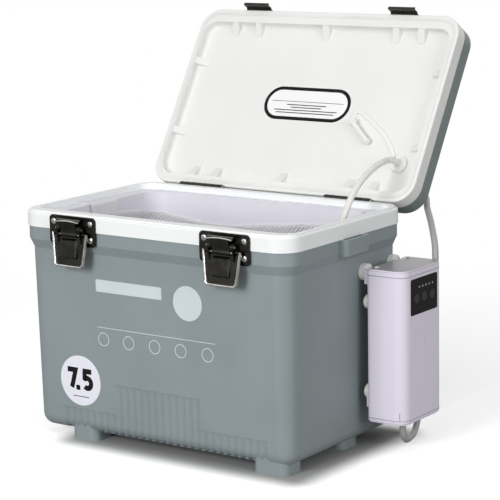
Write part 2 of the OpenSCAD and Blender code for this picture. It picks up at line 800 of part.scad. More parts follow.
module latch_lever(s) {
  color([0.16, 0.16, 0.16]) latch_at(s) difference() {
    union() {
      translate([0, -lever_out, lever_z]) rotate([-lever_tilt, 0, 0]) {
        rotate([90, 0, 0]) linear_extrude(lever_t) lever_outline(0);
        rotate([90, 0, 0]) translate([0, 0, -0.4]) linear_extrude(bead_t) difference() {
          lever_outline(0);
          lever_outline(bead_w);
        }
        intersection() {
          rotate([90, 0, 0]) linear_extrude(pad_t)
            polygon([[-pad_w / 2 + 0.4, -0.6], [-pad_low / 2, -20.4], [pad_low / 2, -20.4], [pad_w / 2 - 0.4, -0.6]]);
          across(pad_w + 4) polygon([[-lever_t / 2, -0.6], [-pad_t, -3.2], [-pad_t, -17.6], [-lever_t / 2, -20.4]]);
          translate([0, 0, -21]) linear_extrude(21)
            polygon([[-pad_w / 2, 0], [-pad_w / 2 + 2.4, -pad_t], [pad_w / 2 - 2.4, -pad_t], [pad_w / 2, 0]]);
        }
      }
      for (u = [-pin_end, arm_in]) {
        bar(pivot_out, pivot_z, arm_r, u, arm_t);
        translate([u + arm_t / 2, 0, 0]) across(arm_t)
          polygon([[-pivot_out + arm_r, pivot_z], [-pivot_out - arm_r, pivot_z],
            [-lever_out - 2.4, lever_z - 5], [-lever_out - 0.7, lever_z - 5]]);
      }
    }
    bar(pivot_out, pivot_z, latch_pin_r + pin_gap, -plate_w / 2, plate_w);
    bar(hook_pin_out, hook_pin_z, latch_pin_r + pin_gap, -plate_w / 2, plate_w);
  }
}
module latch_left_lever() { latch_lever(-1); }
module latch_right_lever() { latch_lever(1); }

module latch_pin(s) {
  color([0.5, 0.5, 0.5]) latch_at(s) bar(hook_pin_out, hook_pin_z, latch_pin_r, -pin_end, 2 * pin_end);
}
module latch_left_pin() { latch_pin(-1); }
module latch_right_pin() { latch_pin(1); }

// Hook: a bent plate that stands on its pin; it is drawn engaged and leans out by hook_lean
hook_w = 19;
hook_lip_w = 28;
hook_roll_r = 2.2;
hook_lean = 12;
hook_lip_z = keeper_top + gap - hook_pin_z;
hook_lip_t = 1.5;
hook_inner = keeper_reach + 0.4 - hook_pin_out;
hook_lip_in = keeper_in + keeper_t + gap - hook_pin_out;
module latch_hook(s) {
  face = hook_inner + 1.5;
  top = hook_lip_z + hook_lip_t;
  color([0.16, 0.16, 0.16]) latch_at(s) translate([0, -hook_pin_out, hook_pin_z])
    rotate([hook_lean, 0, 0]) difference() {
      union() {
        translate([-hook_w / 2, 0, 0]) rotate([0, 90, 0]) cylinder(r = hook_roll_r, h = hook_w);
        across(hook_w) polygon([[-hook_inner, 0], [-face, 0], [-face, top - 1.2], [-hook_inner, top - 1.2]]);
        across(hook_lip_w) polygon([[-hook_inner, top - 2.2], [-face, top - 2.2], [-face, top - 1.2],
          [-face + 0.8, top], [-hook_lip_in, top], [-hook_lip_in, hook_lip_z], [-hook_inner, hook_lip_z]]);
      }
      translate([-hook_w, 0, 0]) rotate([0, 90, 0]) cylinder(r = latch_pin_r + pin_gap, h = 2 * hook_w);
    }
}
module latch_left_hook() { latch_hook(-1); }
module latch_right_hook() { latch_hook(1); }

// Pump: the case stands up, its back to the box's end; inset draws it in, x0 is its back
pump_front = pump_x + pump_t;
pump_back_r = 3.5;
case_z = pump_z + bottom_cap_h;
case_h = pump_h - bottom_cap_h - top_cap_h;
module pump_form(inset, h) {
  a = max(pump_back_r - inset, 1);
  b = pump_r - inset;
  x0 = pump_x + inset;
  x1 = pump_front - inset;
  y = pump_w / 2 - inset;
  translate([0, pump_y, 0]) {
    translate([x0 + a, -y, 0]) cube([x1 - b - x0 - a, 2 * y, h]);
    translate([x0, -y + a, 0]) cube([a, 2 * (y - a), h]);
    translate([x1 - b, -y + b, 0]) cube([b, 2 * (y - b), h]);
    for (u = [-1, 1]) {
      translate([x0 + a, u * (y - a), 0]) cylinder(r = a, h = h);
      translate([x1 - b, u * (y - b), 0]) cylinder(r = b, h = h);
    }
  }
}

window_t = 1.2;
window_z = pump_z + pump_h - 25.2;
module window_form(grow, x0, len) {
  translate([x0, pump_y, window_z]) rotate([90, 0, 90])
    rounded_slab(window_w + 2 * grow, window_h + 2 * grow, 2 + grow, len);
}
button_pitch = 13.6;
button_w = 8.6;
button_tall = 9;
button_drop = 2;
button_len = 5;
button_proud = 0.8;
module button_form(k, grow, x0, len) {
  r = button_w / 2 + grow;
  rise = (button_tall - button_w) / 2;
  translate([x0, pump_y + k * button_pitch, window_z - button_drop]) rotate([0, 90, 0]) {
    for (u = [-1, 1]) translate([u * rise, 0, 0]) cylinder(r = r, h = len);
    translate([-rise, -r, 0]) cube([2 * rise, 2 * r, len]);
  }
}
led_r = 1;
led_pitch = 5.8;
led_rise = 8.2;
module led_places() {
  for (k = [-2 : 2]) translate([0, pump_y + 3 + k * led_pitch, window_z + led_rise])
    rotate([0, 90, 0]) children();
}

board_t = 1.6;
board_x = pump_front - 9;
board_w = 56;
board_h = 50;
board_z = window_z + window_h / 2 + 2 - board_h;
post_r = 2.5;
module pump_housing() {
  color([0.88, 0.86, 0.91]) difference() {
    union() {
      difference() {
        translate([0, 0, case_z]) pump_form(0, case_h);
        translate([0, 0, case_z - 1]) pump_form(pump_wall, case_h + 2);
      }
      for (y = [-1, 1]) for (z = [board_z + 4, board_z + board_h - 4])
        translate([board_x + board_t, pump_y + y * (board_w / 2 - 4), z]) rotate([0, 90, 0])
          cylinder(r = post_r, h = pump_front - pump_wall / 2 - board_x - board_t);
    }
    translate([pump_x - 1, pump_y - pump_w, case_z - 1]) cube([cover_t + 1 + 0.1, 2 * pump_w, case_h + 2]);
    window_form(0.1, pump_front - window_t + 0.2, window_t);
    for (k = [-1 : 1]) button_form(k, gap, pump_front - 5, 8);
    led_places() cylinder(r = led_r + 0.15, h = pump_front + 2);
    // short slit at the bottom of the front corner
    translate([pump_front - pump_r + 5, pump_y - pump_w / 2 - 1, case_z - 1]) cube([0.6, 6, 9]);
  }
}
cover_pad = 3;
keyhole_drop = 12;
module pump_back_cover() {
  y = pump_w / 2;
  color([0.86, 0.84, 0.90]) difference() {
    union() {
      intersection() {
        translate([0, 0, case_z]) pump_form(0, case_h);
        translate([pump_x - 1, pump_y - pump_w, case_z]) cube([cover_t + 1, 2 * pump_w, case_h]);
      }
      translate([pump_x - cover_pad, pump_y - y + 2, case_z + case_h - 9]) cube([cover_pad + 1, 2 * y - 4, 9]);
      translate([pump_x - cover_pad / 2, pump_y - y + 2, case_z + 9]) cube([cover_pad, 2 * y - 4, 13]);
    }
    stud_places() {
      translate([0, 0, pump_x - 6]) cylinder(r = stud_neck_r + 0.2, h = 12);
      translate([keyhole_drop, 0, pump_x - 6]) cylinder(r = stud_head_r + 0.4, h = 12);
      translate([0, -stud_neck_r - 0.2, pump_x - 6]) cube([keyhole_drop, 2 * stud_neck_r + 0.4, 12]);
      cylinder(r = stud_r + gap, h = pump_x - 0.2);
    }
    bumper_places() cylinder(r = bumper_r + gap, h = cover_pad + 1);
  }
}
module pump_top_cap() {
  z = pump_z + pump_h - top_cap_h;
  color([0.88, 0.86, 0.91]) difference() {
    union() {
      translate([0, 0, z]) pump_form(0, top_cap_h - 1.4);
      translate([0, 0, z + top_cap_h - 1.4 - eps]) pump_form(1, 1.4 + eps);
      translate([pump_x - cover_pad, pump_y - pump_w / 2 + 2, z])
        cube([cover_pad + 4, pump_w - 4, top_cap_h - 1.4]);
    }
    stud_places() cylinder(r = stud_r + gap, h = pump_x + 0.2);
    stud_places() cylinder(r = stud_head_r + 0.5, h = pump_x + 9);
  }
}
module pump_bottom_cap() {
  color([0.88, 0.86, 0.91]) difference() {
    union() {
      translate([0, 0, pump_z]) pump_form(1.2, 1.6);
      translate([0, 0, pump_z + 1.6 - eps]) pump_form(0, bottom_cap_h - 1.6 + eps);
    }
    translate([barb_x, barb_y, pump_z - 1]) cylinder(r = barb_r + 0.1, h = bottom_cap_h + 2);
  }
}
bumper_r = 6.5;
bumper_t = 5;
bumper_dx = 26.5;
bumper_low = 27;
bumper_high = 110;
bumper_z = [pump_z + bumper_low, pump_z + bumper_high];
module bumper_places() {
  for (u = [-1, 1]) for (z = bumper_z)
    translate([pump_x, pump_y + u * bumper_dx, z]) rotate([0, -90, 0]) children();
}
module pump_bumpers() {
  color([0.85, 0.84, 0.86]) bumper_places() {
    cylinder(r = bumper_r, h = bumper_t - 1);
    translate([0, 0, bumper_t - 1 - eps]) cylinder(r1 = bumper_r, r2 = bumper_r - 1.2, h = 1);
  }
}
module control_window() {
  color([0.10, 0.11, 0.10]) difference() {
    window_form(0, pump_front - window_t + 0.3, window_t);
    for (k = [-1 : 1]) button_form(k, gap, pump_front - 5, 8);
    led_places() cylinder(r = led_r + 0.15, h = pump_front + 2);
  }
}
module pump_button(k) {
  color([0.18, 0.19, 0.18]) button_form(k, 0, pump_front + button_proud - button_len, button_len);
}
module button_power() { pump_button(-1); }
module button_mode() { pump_button(0); }
module button_light() { pump_button(1); }
module circuit_board() {
  color([0.12, 0.35, 0.20]) translate([board_x, pump_y - board_w / 2, board_z]) cube([board_t, board_w, board_h]);
}
module led_lights() {
  color([0.85, 0.90, 0.88]) led_places() translate([0, 0, board_x + board_t])
    cylinder(r = led_r, h = pump_front + 0.4 - board_x - board_t);
}

battery_r = 9.2;
battery_h = 65;
module battery() {
  color([0.20, 0.30, 0.45]) for (u = [-1, 1])
    translate([pump_x + cover_t + gap + battery_r, pump_y + 3 + u * (battery_r + 0.2), case_z + case_h - 5 - battery_h])
      cylinder(r = battery_r, h = battery_h);
}
pump_box = [26, 34, 16];
module diaphragm_pump() {
  color([0.25, 0.25, 0.28])
    translate([pump_x + cover_t + gap, pump_y - pump_box[1] / 2, case_z + gap]) cube(pump_box);
}
motor_r = 11;
module air_motor() {
  color([0.70, 0.70, 0.70])
    translate([pump_x + cover_t + gap + motor_r, pump_y, case_z + 2 * gap + pump_box[2]]) {
      cylinder(r = motor_r, h = 22);
      cylinder(r = 3, h = 24);
    }
}
barb_x = 180;
barb_y = 43;
barb_r = 3.2;
barb_low = 3.2;
module outlet_barb() {
  color([0.85, 0.84, 0.86]) translate([barb_x, barb_y, 0]) difference() {
    union() {
      translate([0, 0, pump_z - barb_low]) cylinder(r = barb_r, h = barb_low + bottom_cap_h);
      translate([0, 0, pump_z - 1.6]) cylinder(r = barb_r + 1.4, h = 1.5);
    }
    translate([0, 0, pump_z - barb_low - 1]) cylinder(r = hose_bore, h = barb_low + bottom_cap_h + 2);
  }
}

// A tube swept along a route: one ring of points square to the route at each of its stations
function unit(v) = v / norm(v);
function spline(p0, p1, p2, p3, t) =
  0.5 * (2 * p1 + (p2 - p0) * t + (2 * p0 - 5 * p1 + 4 * p2 - p3) * t * t
    + (3 * p1 - p0 - 3 * p2 + p3) * t * t * t);
function route_points(p, per) = concat(
  [for (i = [0 : len(p) - 2]) for (k = [0 : per - 1])
    spline(p[max(i - 1, 0)], p[i], p[i + 1], p[min(i + 2, len(p) - 1)], k / per)],
  [p[len(p) - 1]]);
function heading(p, i) = unit(p[min(i + 1, len(p) - 1)] - p[max(i - 1, 0)]);
module tube(route, d, sides, per) {
  p = route_points(route, per);
  n = len(p);
  pts = [for (i = [0 : n - 1]) let (t = heading(p, i), a = unit(cross(t, [1, 0.02, 0.01])), b = cross(t, a))
    for (k = [0 : sides - 1]) p[i] + d / 2 * (cos(360 * k / sides) * a + sin(360 * k / sides) * b)];
  faces = concat([[for (k = [0 : sides - 1]) sides - 1 - k]],
    [for (i = [0 : n - 2]) for (k = [0 : sides - 1])
      [i * sides + k, i * sides + (k + 1) % sides, (i + 1) * sides + (k + 1) % sides]],
    [for (i = [0 : n - 2]) for (k = [0 : sides - 1])
      [i * sides + k, (i + 1) * sides + (k + 1) % sides, (i + 1) * sides + k]],
    [[for (k = [0 : sides - 1]) (n - 1) * sides + k]]);
  polyhedron(pts, faces);
}
outer_route = [[180, 43, 17.8], [180, 43, 10], [179.5, 45.5, 4], [178, 52, -1.5], [176, 62, -2.6],
  [173, 74, -1.5], [170, 84, 3], [168, 91, 11], [167, 94, 25], [167, 95, 45], [168, 96, 70], [171, 97.5, 95],
  [175.5, 99, 120], [179.5, 100, 142], [180.8, 101.2, 158], [178.4, 104.6, 171.6], [170.3, 115, 181.2],
  [159, 129.5, 190.5], [148.4, 142, 198.6], [138.1, 158.5, 203.2], [133.3, 163.6, 206.6], [128.5, 165.2, 212.2],
  [125.1, 163, 218.5], [124, 157.7, 223.5], [124, 152.8, 226.5]];
inner_route = [[124, 129, 241.1], [124, 124.8, 243.6], [124, 118, 245.8], [123.5, 109, 246.2], [123, 98, 244.6],
  [122.5, 86, 241], [122, 74, 235.8], [121.5, 63, 229.2], [121, 54.5, 222], [120.5, 48, 214], [119.5, 42, 204],
  [118, 36, 190], [116, 31, 172], [113.5, 26, 148], [111, 22, 118], [108.5, 19, 88], [106.5, 16.5, 62],
  [105, 15, 50], [105, 15, 42]];
module hose_outer() {
  color([0.62, 0.62, 0.61]) tube(outer_route, hose_d, 8, 1);
}
module hose_inner() {
  color([0.85, 0.85, 0.84]) tube(inner_route, hose_d, 8, 1);
}
stone_r = 8;
stone_low = liner_floor + net_gap + net_t + 0.3;
module air_stone() {
  end = inner_route[len(inner_route) - 1];
  color([0.45, 0.55, 0.65]) translate([end[0], end[1], 0]) {
    translate([0, 0, stone_low]) cylinder(r = stone_r, h = end[2] - 4 - stone_low);
    translate([0, 0, stone_low]) cylinder(r = 2.4, h = end[2] - stone_low);
  }
}

outer_shell();
body_foam();
inner_liner();
rim_frame();
net_bag();
net_hangers();
capacity_sticker();
hanger_studs();
hinge_body_leaves();
hinge_body_screws();
hinge_pins();
lid_outer_shell();
lid_foam();
lid_inner_panel();
lid_gasket();
hinge_lid_leaves();
hinge_lid_screws();
lid_keepers();
keeper_screws();
lid_label();
hose_grommet();
grommet_plug();
plug_strap();
latch_left_base();
latch_right_base();
latch_screws();
latch_pivots();
latch_left_lever();
latch_right_lever();
latch_left_pin();
latch_right_pin();
latch_left_hook();
latch_right_hook();
pump_housing();
pump_back_cover();
pump_top_cap();
pump_bottom_cap();
pump_bumpers();
control_window();
button_power();
button_mode();
button_light();
circuit_board();
led_lights();
battery();
air_motor();
diaphragm_pump();
outlet_barb();
hose_outer();
hose_inner();
air_stone();
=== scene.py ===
"""Insulated live-bait box with an aerator pump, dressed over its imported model. Lengths are in metres."""
import json
import math

import bmesh
import bpy
from mathutils import Matrix, Vector


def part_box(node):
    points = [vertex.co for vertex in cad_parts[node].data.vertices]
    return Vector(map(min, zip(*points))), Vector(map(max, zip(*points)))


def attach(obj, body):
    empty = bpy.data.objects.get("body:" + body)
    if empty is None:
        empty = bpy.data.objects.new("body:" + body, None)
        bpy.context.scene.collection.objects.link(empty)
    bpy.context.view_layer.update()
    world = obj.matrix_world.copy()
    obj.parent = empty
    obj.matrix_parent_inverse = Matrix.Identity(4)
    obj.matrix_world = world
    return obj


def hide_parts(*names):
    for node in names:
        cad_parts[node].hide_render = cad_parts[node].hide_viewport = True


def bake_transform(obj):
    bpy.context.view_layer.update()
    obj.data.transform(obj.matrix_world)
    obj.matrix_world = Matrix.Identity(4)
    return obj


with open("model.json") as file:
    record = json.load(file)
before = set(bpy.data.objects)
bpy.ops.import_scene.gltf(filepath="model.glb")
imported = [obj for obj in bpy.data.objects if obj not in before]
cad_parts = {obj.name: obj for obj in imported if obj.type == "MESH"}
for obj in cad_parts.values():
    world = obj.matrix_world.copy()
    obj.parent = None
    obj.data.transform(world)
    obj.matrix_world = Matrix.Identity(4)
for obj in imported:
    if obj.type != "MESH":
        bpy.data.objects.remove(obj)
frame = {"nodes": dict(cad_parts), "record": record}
nodes = frame["nodes"]
body_of = {n: b for b, ns in frame["record"]["behaviour"]["bodies"].items() for n in ns}
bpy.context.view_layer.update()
MM = 0.001


def mm(points):
    """Points given in millimetres, as vectors in metres."""
    return [Vector(p) * MM for p in points]


# Camera, fitted to the box's edges in the photograph

YAW, PITCH, ROLL = 0.619, 0.188, -0.019
CAMERA_AT = (1.0870, -1.4655, 0.5140)
FOCAL_PIXELS, PHOTO_SIDE = 1988.8, 500


def make_camera():
    forward = Vector((-math.sin(YAW) * math.cos(PITCH), math.cos(YAW) * math.cos(PITCH), -math.sin(PITCH)))
    level = Vector((math.cos(YAW), math.sin(YAW), 0))
    above = level.cross(forward)
    right = level * math.cos(ROLL) + above * math.sin(ROLL)
    up = above * math.cos(ROLL) - level * math.sin(ROLL)
    data = bpy.data.cameras.new("photo_camera")
    data.sensor_width = 36
    data.lens = FOCAL_PIXELS / PHOTO_SIDE * data.sensor_width
    data.clip_start, data.clip_end = 0.05, 50
    camera = bpy.data.objects.new("photo_camera", data)
    bpy.context.scene.collection.objects.link(camera)
    turned_to = Matrix((right, up, -forward)).transposed().to_4x4()
    camera.matrix_world = Matrix.Translation(CAMERA_AT) @ turned_to
    bpy.context.scene.camera = camera


make_camera()


# Finishes

def shade(red, green, blue):
    """A colour as seen on a screen, 0 to 255, as the linear colour that a shader takes."""
    def straight(v):
        v /= 255
        return v / 12.92 if v <= 0.04045 else ((v + 0.055) / 1.055) ** 2.4
    return (straight(red), straight(green), straight(blue), 1.0)


def scaled(colour, factor):
    return tuple(min(1.0, c * factor) for c in colour[:3]) + (1.0,)


class Amount:
    """A value that varies over a surface. Sums on it add the Math nodes."""

    def __init__(self, nodes_of, socket):
        self.nodes_of, self.socket = nodes_of, socket

    def sum_with(self, operation, *values):
        made = self.nodes_of.add("ShaderNodeMath", {"operation": operation}, dict(enumerate(values)))
        return Amount(self.nodes_of, made.outputs[0])

    def __add__(self, other):
        return self.sum_with("ADD", self, other)

    def __radd__(self, other):
        return self.sum_with("ADD", other, self)

    def __sub__(self, other):
        return self.sum_with("SUBTRACT", self, other)

    def __rsub__(self, other):
        return self.sum_with("SUBTRACT", other, self)

    def __mul__(self, other):
        return self.sum_with("MULTIPLY", self, other)

    def __rmul__(self, other):
        return self.sum_with("MULTIPLY", other, self)

    def peak(self, other):
        return self.sum_with("MAXIMUM", self, other)

    def sine(self):
        return self.sum_with("SINE", self)

    def away(self):
        return self.sum_with("ABSOLUTE", self)

    def apart(self, other):
        """Distance from a corner, this far one way and that far the other."""
        squares = self * self + other * other
        return self.sum_with("SQRT", squares)


class Nodes:
    """The nodes of a material or of the world."""

    def __init__(self, tree):
        self.tree = tree

    def put(self, socket, value):
        if isinstance(value, Amount):
            value = value.socket
        if isinstance(value, bpy.types.NodeSocket):
            self.tree.links.new(value, socket)
        else:
            socket.default_value = value

    def add(self, kind, settings, values):
        """Adds a node: first its settings, then the values or links of its sockets."""
        node = self.tree.nodes.new(kind)
        for name, value in settings.items():
            setattr(node, name, value)
        for name, value in values.items():
            self.put(node.inputs[name], value)
        return node

    def mixed(self, share, first, second):
        """One shader where the share is 0, the other where it is 1."""
        return self.add("ShaderNodeMixShader", {}, {0: share, 1: first, 2: second}).outputs[0]

    def rays(self, *kinds):
        """For each kind of ray, 1 where the ray is of that kind."""
        seen = self.add("ShaderNodeLightPath", {}, {})
        return [Amount(self, seen.outputs["Is %s Ray" % kind]) for kind in kinds]


class Finish(Nodes):
    """One material: a Principled shader, with what varies read from the object's own coordinates."""

    def __init__(self, name, colour, roughness, **fixed):
        self.material = bpy.data.materials.new(name)
        self.material.use_nodes = True
        super().__init__(self.material.node_tree)
        self.surface = self.tree.nodes["Principled BSDF"]
        self.surface.inputs["Base Color"].default_value = colour
        self.surface.inputs["Roughness"].default_value = roughness
        for name, value in fixed.items():
            self.surface.inputs[name.replace("_", " ")].default_value = value

    def set(self, name, value):
        self.put(self.surface.inputs[name], value)

    def place(self):
        return self.add("ShaderNodeTexCoord", {}, {}).outputs["Object"]

    def noise(self, scale, detail=2.0, stretch=None):
        where = self.place()
        if stretch:
            pulled = self.add("ShaderNodeVectorMath", {"operation": "MULTIPLY"}, {0: where, 1: stretch})
            where = pulled.outputs[0]
        made = self.add("ShaderNodeTexNoise", {}, {"Vector": where, "Scale": scale, "Detail": detail})
        return Amount(self, made.outputs[0])

    def axes(self):
        split = self.add("ShaderNodeSeparateXYZ", {}, {"Vector": self.place()})
        return [Amount(self, o) for o in split.outputs]

    def ramp(self, amount, low, high):
        """From 0 at low to 1 at high, with soft ends."""
        settings = {"interpolation_type": "SMOOTHSTEP"}
        made = self.add("ShaderNodeMapRange", settings, {"Value": amount, "From Min": low, "From Max": high})
        return Amount(self, made.outputs[0])

    def blended(self, amount, a, b):
        return self.add("ShaderNodeMix", {"data_type": "RGBA"}, {0: amount, 6: a, 7: b}).outputs[2]

    def facing_up(self):
        """From 0 on a side to 1 on a top face."""
        outward = self.add("ShaderNodeNewGeometry", {}, {}).outputs["Normal"]
        split = self.add("ShaderNodeSeparateXYZ", {}, {"Vector": outward})
        return self.ramp(Amount(self, split.outputs[2]), 0.55, 0.95)

    def bump(self, height, distance):
        made = self.add("ShaderNodeBump", {}, {"Strength": 1.0, "Distance": distance, "Height": height})
        self.set("Normal", made.outputs[0])


def moulded(name, colour, roughness, drift=0.05, grain=1400, depth=0.00003, **fixed):
    """Moulded plastic: a slow drift of colour and sheen, flow clouds, and a fine moulding grain."""
    f = Finish(name, colour, roughness, **fixed)
    cloud = f.noise(16, 3)
    paler, darker = scaled(colour, 1 + drift), scaled(colour, 1 - drift)
    f.set("Base Color", f.blended(f.ramp(cloud, 0.32, 0.68), darker, paler))
    scuff = f.noise(60, 4)
    f.set("Roughness", roughness + 0.10 * (scuff - 0.5) + 0.06 * (cloud - 0.5))
    f.bump(f.noise(grain, 2) + 0.35 * f.noise(grain * 0.22, 2), depth)
    return f.material


def plated(name, colour, roughness, streak=0.25):
    """Plated or brushed metal: fine streaks in its sheen and faint darker clouds."""
    f = Finish(name, colour, roughness, Metallic=1.0)
    streaks = f.noise(900, 2, (0.25, 1.0, 1.0))
    cloud = f.noise(120, 3)
    f.set("Base Color", f.blended(f.ramp(cloud, 0.35, 0.7), scaled(colour, 0.82), scaled(colour, 1.1)))
    f.set("Roughness", roughness + streak * (streaks - 0.5) + 0.08 * (cloud - 0.5))
    f.bump(streaks, 0.000012)
    return f.material


def woven(name, colour, pitch):
    """Woven tape: warp and weft threads crossing at the pitch given."""
    f = Finish(name, colour, 0.85)
    x, y, z = f.axes()
    turn = 2 * math.pi / pitch
    thread = ((x + 0.31 * z) * turn).sine() * (y * turn).sine() + 0.6 * (z * turn).sine()
    cloud = f.noise(90, 3)
    f.set("Base Color", f.blended(f.ramp(thread + cloud, -0.8, 1.6), scaled(colour, 0.86), colour))
    f.bump(thread, 0.00012)
    return f.material


PUMP = shade(226, 220, 234)
# Darker pump plastic that paints shade on the top face of the pump's cap
PUMP_TOP_PAINTED_SHADE = shade(147, 144, 150)
finishes = {
    "grey_shell": moulded("grey_shell", shade(136, 146, 148), 0.46, 0.035, 1100, 0.00004),
    # The lid's shell is the same grey plastic as the body's; this darker copy paints shade on it
    "lid_grey": moulded("lid_grey", shade(122, 130, 130), 0.44, 0.035, 1100, 0.00004),
    "white_rim": moulded("white_rim", shade(240, 242, 242), 0.34, 0.01, 1300, 0.00002),
    "white_panel": moulded("white_panel", shade(232, 233, 230), 0.38, 0.012, 1300, 0.00003),
    "liner_white": moulded("liner_white", shade(228, 227, 236), 0.42, 0.02, 1200, 0.00003),
    "foam": moulded("foam", shade(238, 230, 200), 0.9, 0.06, 500, 0.0004),
    "gasket_rubber": moulded("gasket_rubber", shade(226, 227, 225), 0.6, 0.04, 1500, 0.00004),
    "black_nickel": plated("black_nickel", shade(62, 61, 58), 0.27, 0.12),
    # A bright copy of the latches' black metal for their rolled edges: painted highlights
    "bead_painted_highlight": plated("bead_painted_highlight", shade(205, 204, 200), 0.14, 0.06),
    "steel_pin": plated("steel_pin", shade(190, 190, 190), 0.2),
    "screw_steel": plated("screw_steel", shade(205, 204, 200), 0.22),
    "sticker": moulded("sticker", shade(232, 232, 242), 0.35, 0.01, 900, 0.00001),
    "label": moulded("label", shade(243, 243, 243), 0.3, 0.01, 900, 0.00001),
    "print_black": moulded("print_black", shade(20, 20, 21), 0.6, 0.1, 900, 0.00001,
                           Specular_IOR_Level=0.12),
    "print_pale": moulded("print_pale", shade(204, 213, 217), 0.5, 0.02, 900, 0.00001),
    "pump_plastic": moulded("pump_plastic", PUMP, 0.3, 0.012, 1500, 0.00002),
    "window_black": moulded("window_black", shade(24, 26, 24), 0.3, 0.1, 1500, 0.000005,
                            Specular_IOR_Level=0.15),
    "button_black": moulded("button_black", shade(52, 55, 53), 0.55, 0.08, 1200, 0.00004,
                            Specular_IOR_Level=0.2),
    "board_green": moulded("board_green", shade(30, 92, 52), 0.4, 0.1, 700, 0.00005),
    "cell_wrap": moulded("cell_wrap", shade(52, 76, 116), 0.35, 0.05, 900, 0.00002),
    "motor_can": plated("motor_can", shade(185, 185, 182), 0.3),
    "dark_plastic": moulded("dark_plastic", shade(62, 62, 68), 0.5, 0.06, 1000, 0.00005),
    "white_rubber": moulded("white_rubber", shade(234, 234, 231), 0.5, 0.03, 1100, 0.00004),
    "silicone_hose": moulded("silicone_hose", shade(176, 177, 175), 0.32, 0.03, 700, 0.00003,
                             Transmission_Weight=0.15),
    "silicone_clear": moulded("silicone_clear", shade(236, 235, 231), 0.28, 0.015, 500, 0.00001,
                              Transmission_Weight=0.12),
    "net": woven("net", shade(242, 242, 246), 0.0012),
    # Grey for the pump's shut lines: painted shade in the gaps
    "seam": moulded("seam", shade(150, 146, 156), 0.6),
    "stone_blue": moulded("stone_blue", shade(120, 140, 162), 0.95, 0.16, 420, 0.0006),
}


VEIL_TURN = 2600


def lit():
    """Small lights of the pump, nearly off."""
    f = Finish("led", shade(150, 156, 152), 0.4, Emission_Strength=0.02)
    glow = f.noise(300, 1)
    f.set("Emission Color", f.blended(glow, shade(205, 235, 222), shade(240, 250, 246)))
    return f.material


def veil():
    """The net's fine mesh between its strands, a little open."""
    f = Finish("net_veil", shade(224, 222, 228), 0.9)
    x, y, z = f.axes()
    weave = ((x + y + z) * VEIL_TURN).sine().away() * ((x + y - z) * VEIL_TURN).sine().away()
    f.set("Alpha", 0.86 + 0.1 * weave)
    f.bump(weave, 0.0001)
    return f.material


def capped():
    """The pump's plastic, with painted shade on its top face."""
    roughness = 0.3
    f = Finish("pump_cap_painted_shade", PUMP, roughness)
    cloud = f.noise(16, 3)
    # Faces that point up take the darker colour: painted shade
    f.set("Base Color", f.blended(f.facing_up(), PUMP, PUMP_TOP_PAINTED_SHADE))
    f.set("Roughness", roughness + 0.06 * (cloud - 0.5))
    f.bump(f.noise(1500, 2), 0.00002)
    return f.material


finishes.update({"led": lit(), "net_veil": veil(), "pump_cap_painted_shade": capped()})


def dress(piece, slot, finish=None):
    """Gives a piece the finish named by its slot, or another finish if one is named."""
    piece.data.materials.clear()
    piece.data.materials.append(finishes[finish or slot])
    return piece


# Making pieces

def in_scene(name, mesh):
    piece = bpy.data.objects.new(name, mesh)
    bpy.context.scene.collection.objects.link(piece)
    return piece


def new_piece(name, vertices, faces, smooth=35.0):
    """A piece from points and faces, shaded smooth over edges flatter than an angle in degrees."""
    mesh = bpy.data.meshes.new(name)
    mesh.from_pydata([tuple(v) for v in vertices], [], [tuple(f) for f in faces])
    mesh.validate()
    mesh.polygons.foreach_set("use_smooth", [True] * len(mesh.polygons))
    mesh.set_sharp_from_angle(angle=math.radians(smooth))
    mesh.update()
    return in_scene(name, mesh)


EASED_OVER = math.radians(28.0)


def add_bevel(piece, width, segments):
    bevel = piece.modifiers.new("edges", "BEVEL")
    bevel.width, bevel.segments, bevel.limit_method = width, segments, "ANGLE"
    bevel.angle_limit = EASED_OVER
    bevel.miter_outer = "MITER_ARC"
    level = piece.modifiers.new("normals", "WEIGHTED_NORMAL")
    level.keep_sharp = True


def softened(node, width, slot, segments=3, finish=None):
    """A copy of a CAD node with its sharp edges eased; it stands for the node."""
    name = node + "_form"
    mesh = nodes[node].data.copy()
    mesh.name = name
    bm = bmesh.new()
    bm.from_mesh(mesh)
    bmesh.ops.remove_doubles(bm, verts=bm.verts, dist=2e-6)
    bmesh.ops.dissolve_limit(bm, angle_limit=math.radians(0.5), verts=bm.verts, edges=bm.edges)
    bm.to_mesh(mesh)
    bm.free()
    if "custom_normal" in mesh.attributes:
        mesh.attributes.remove(mesh.attributes["custom_normal"])
    mesh.polygons.foreach_set("use_smooth", [True] * len(mesh.polygons))
    piece = in_scene(name, mesh)
    add_bevel(piece, width, segments)
    return place_on(piece, slot, body_of[node], node, finish=finish)


def place_on(piece, slot, body, *replaced, finish=None):
    """Gives a piece its finish and its body, and hides the nodes that it stands for."""
    dress(piece, slot, finish)
    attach(piece, body)
    if replaced:
        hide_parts(*replaced)
    return piece


def joined(name, pieces):
    """Several meshes as one piece."""
    bm = bmesh.new()
    for p in pieces:
        bm.from_mesh(p.data)
        bpy.data.objects.remove(p)
    mesh = bpy.data.meshes.new(name)
    bm.to_mesh(mesh)
    bm.free()
    return in_scene(name, mesh)


def skin_faces(count, rows):
    """Faces of a skin over closed loops of count points, one loop more than there are rows."""
    faces = []
    for i in range(rows):
        for k in range(count):
            a, b = i * count + k, i * count + (k + 1) % count
            faces.append((a, b, b + count, a + count))
    return faces


def rings(name, loops, caps=True, smooth=40.0):
    """A skin over closed loops of points, each as long as the next."""
    count, rows = len(loops[0]), len(loops) - 1
    vertices = [p for loop in loops for p in loop]
    faces = skin_faces(count, rows)
    if caps:
        faces.append(tuple(reversed(range(count))))
        faces.append(tuple(range(rows * count, (rows + 1) * count)))
    return new_piece(name, vertices, faces, smooth)


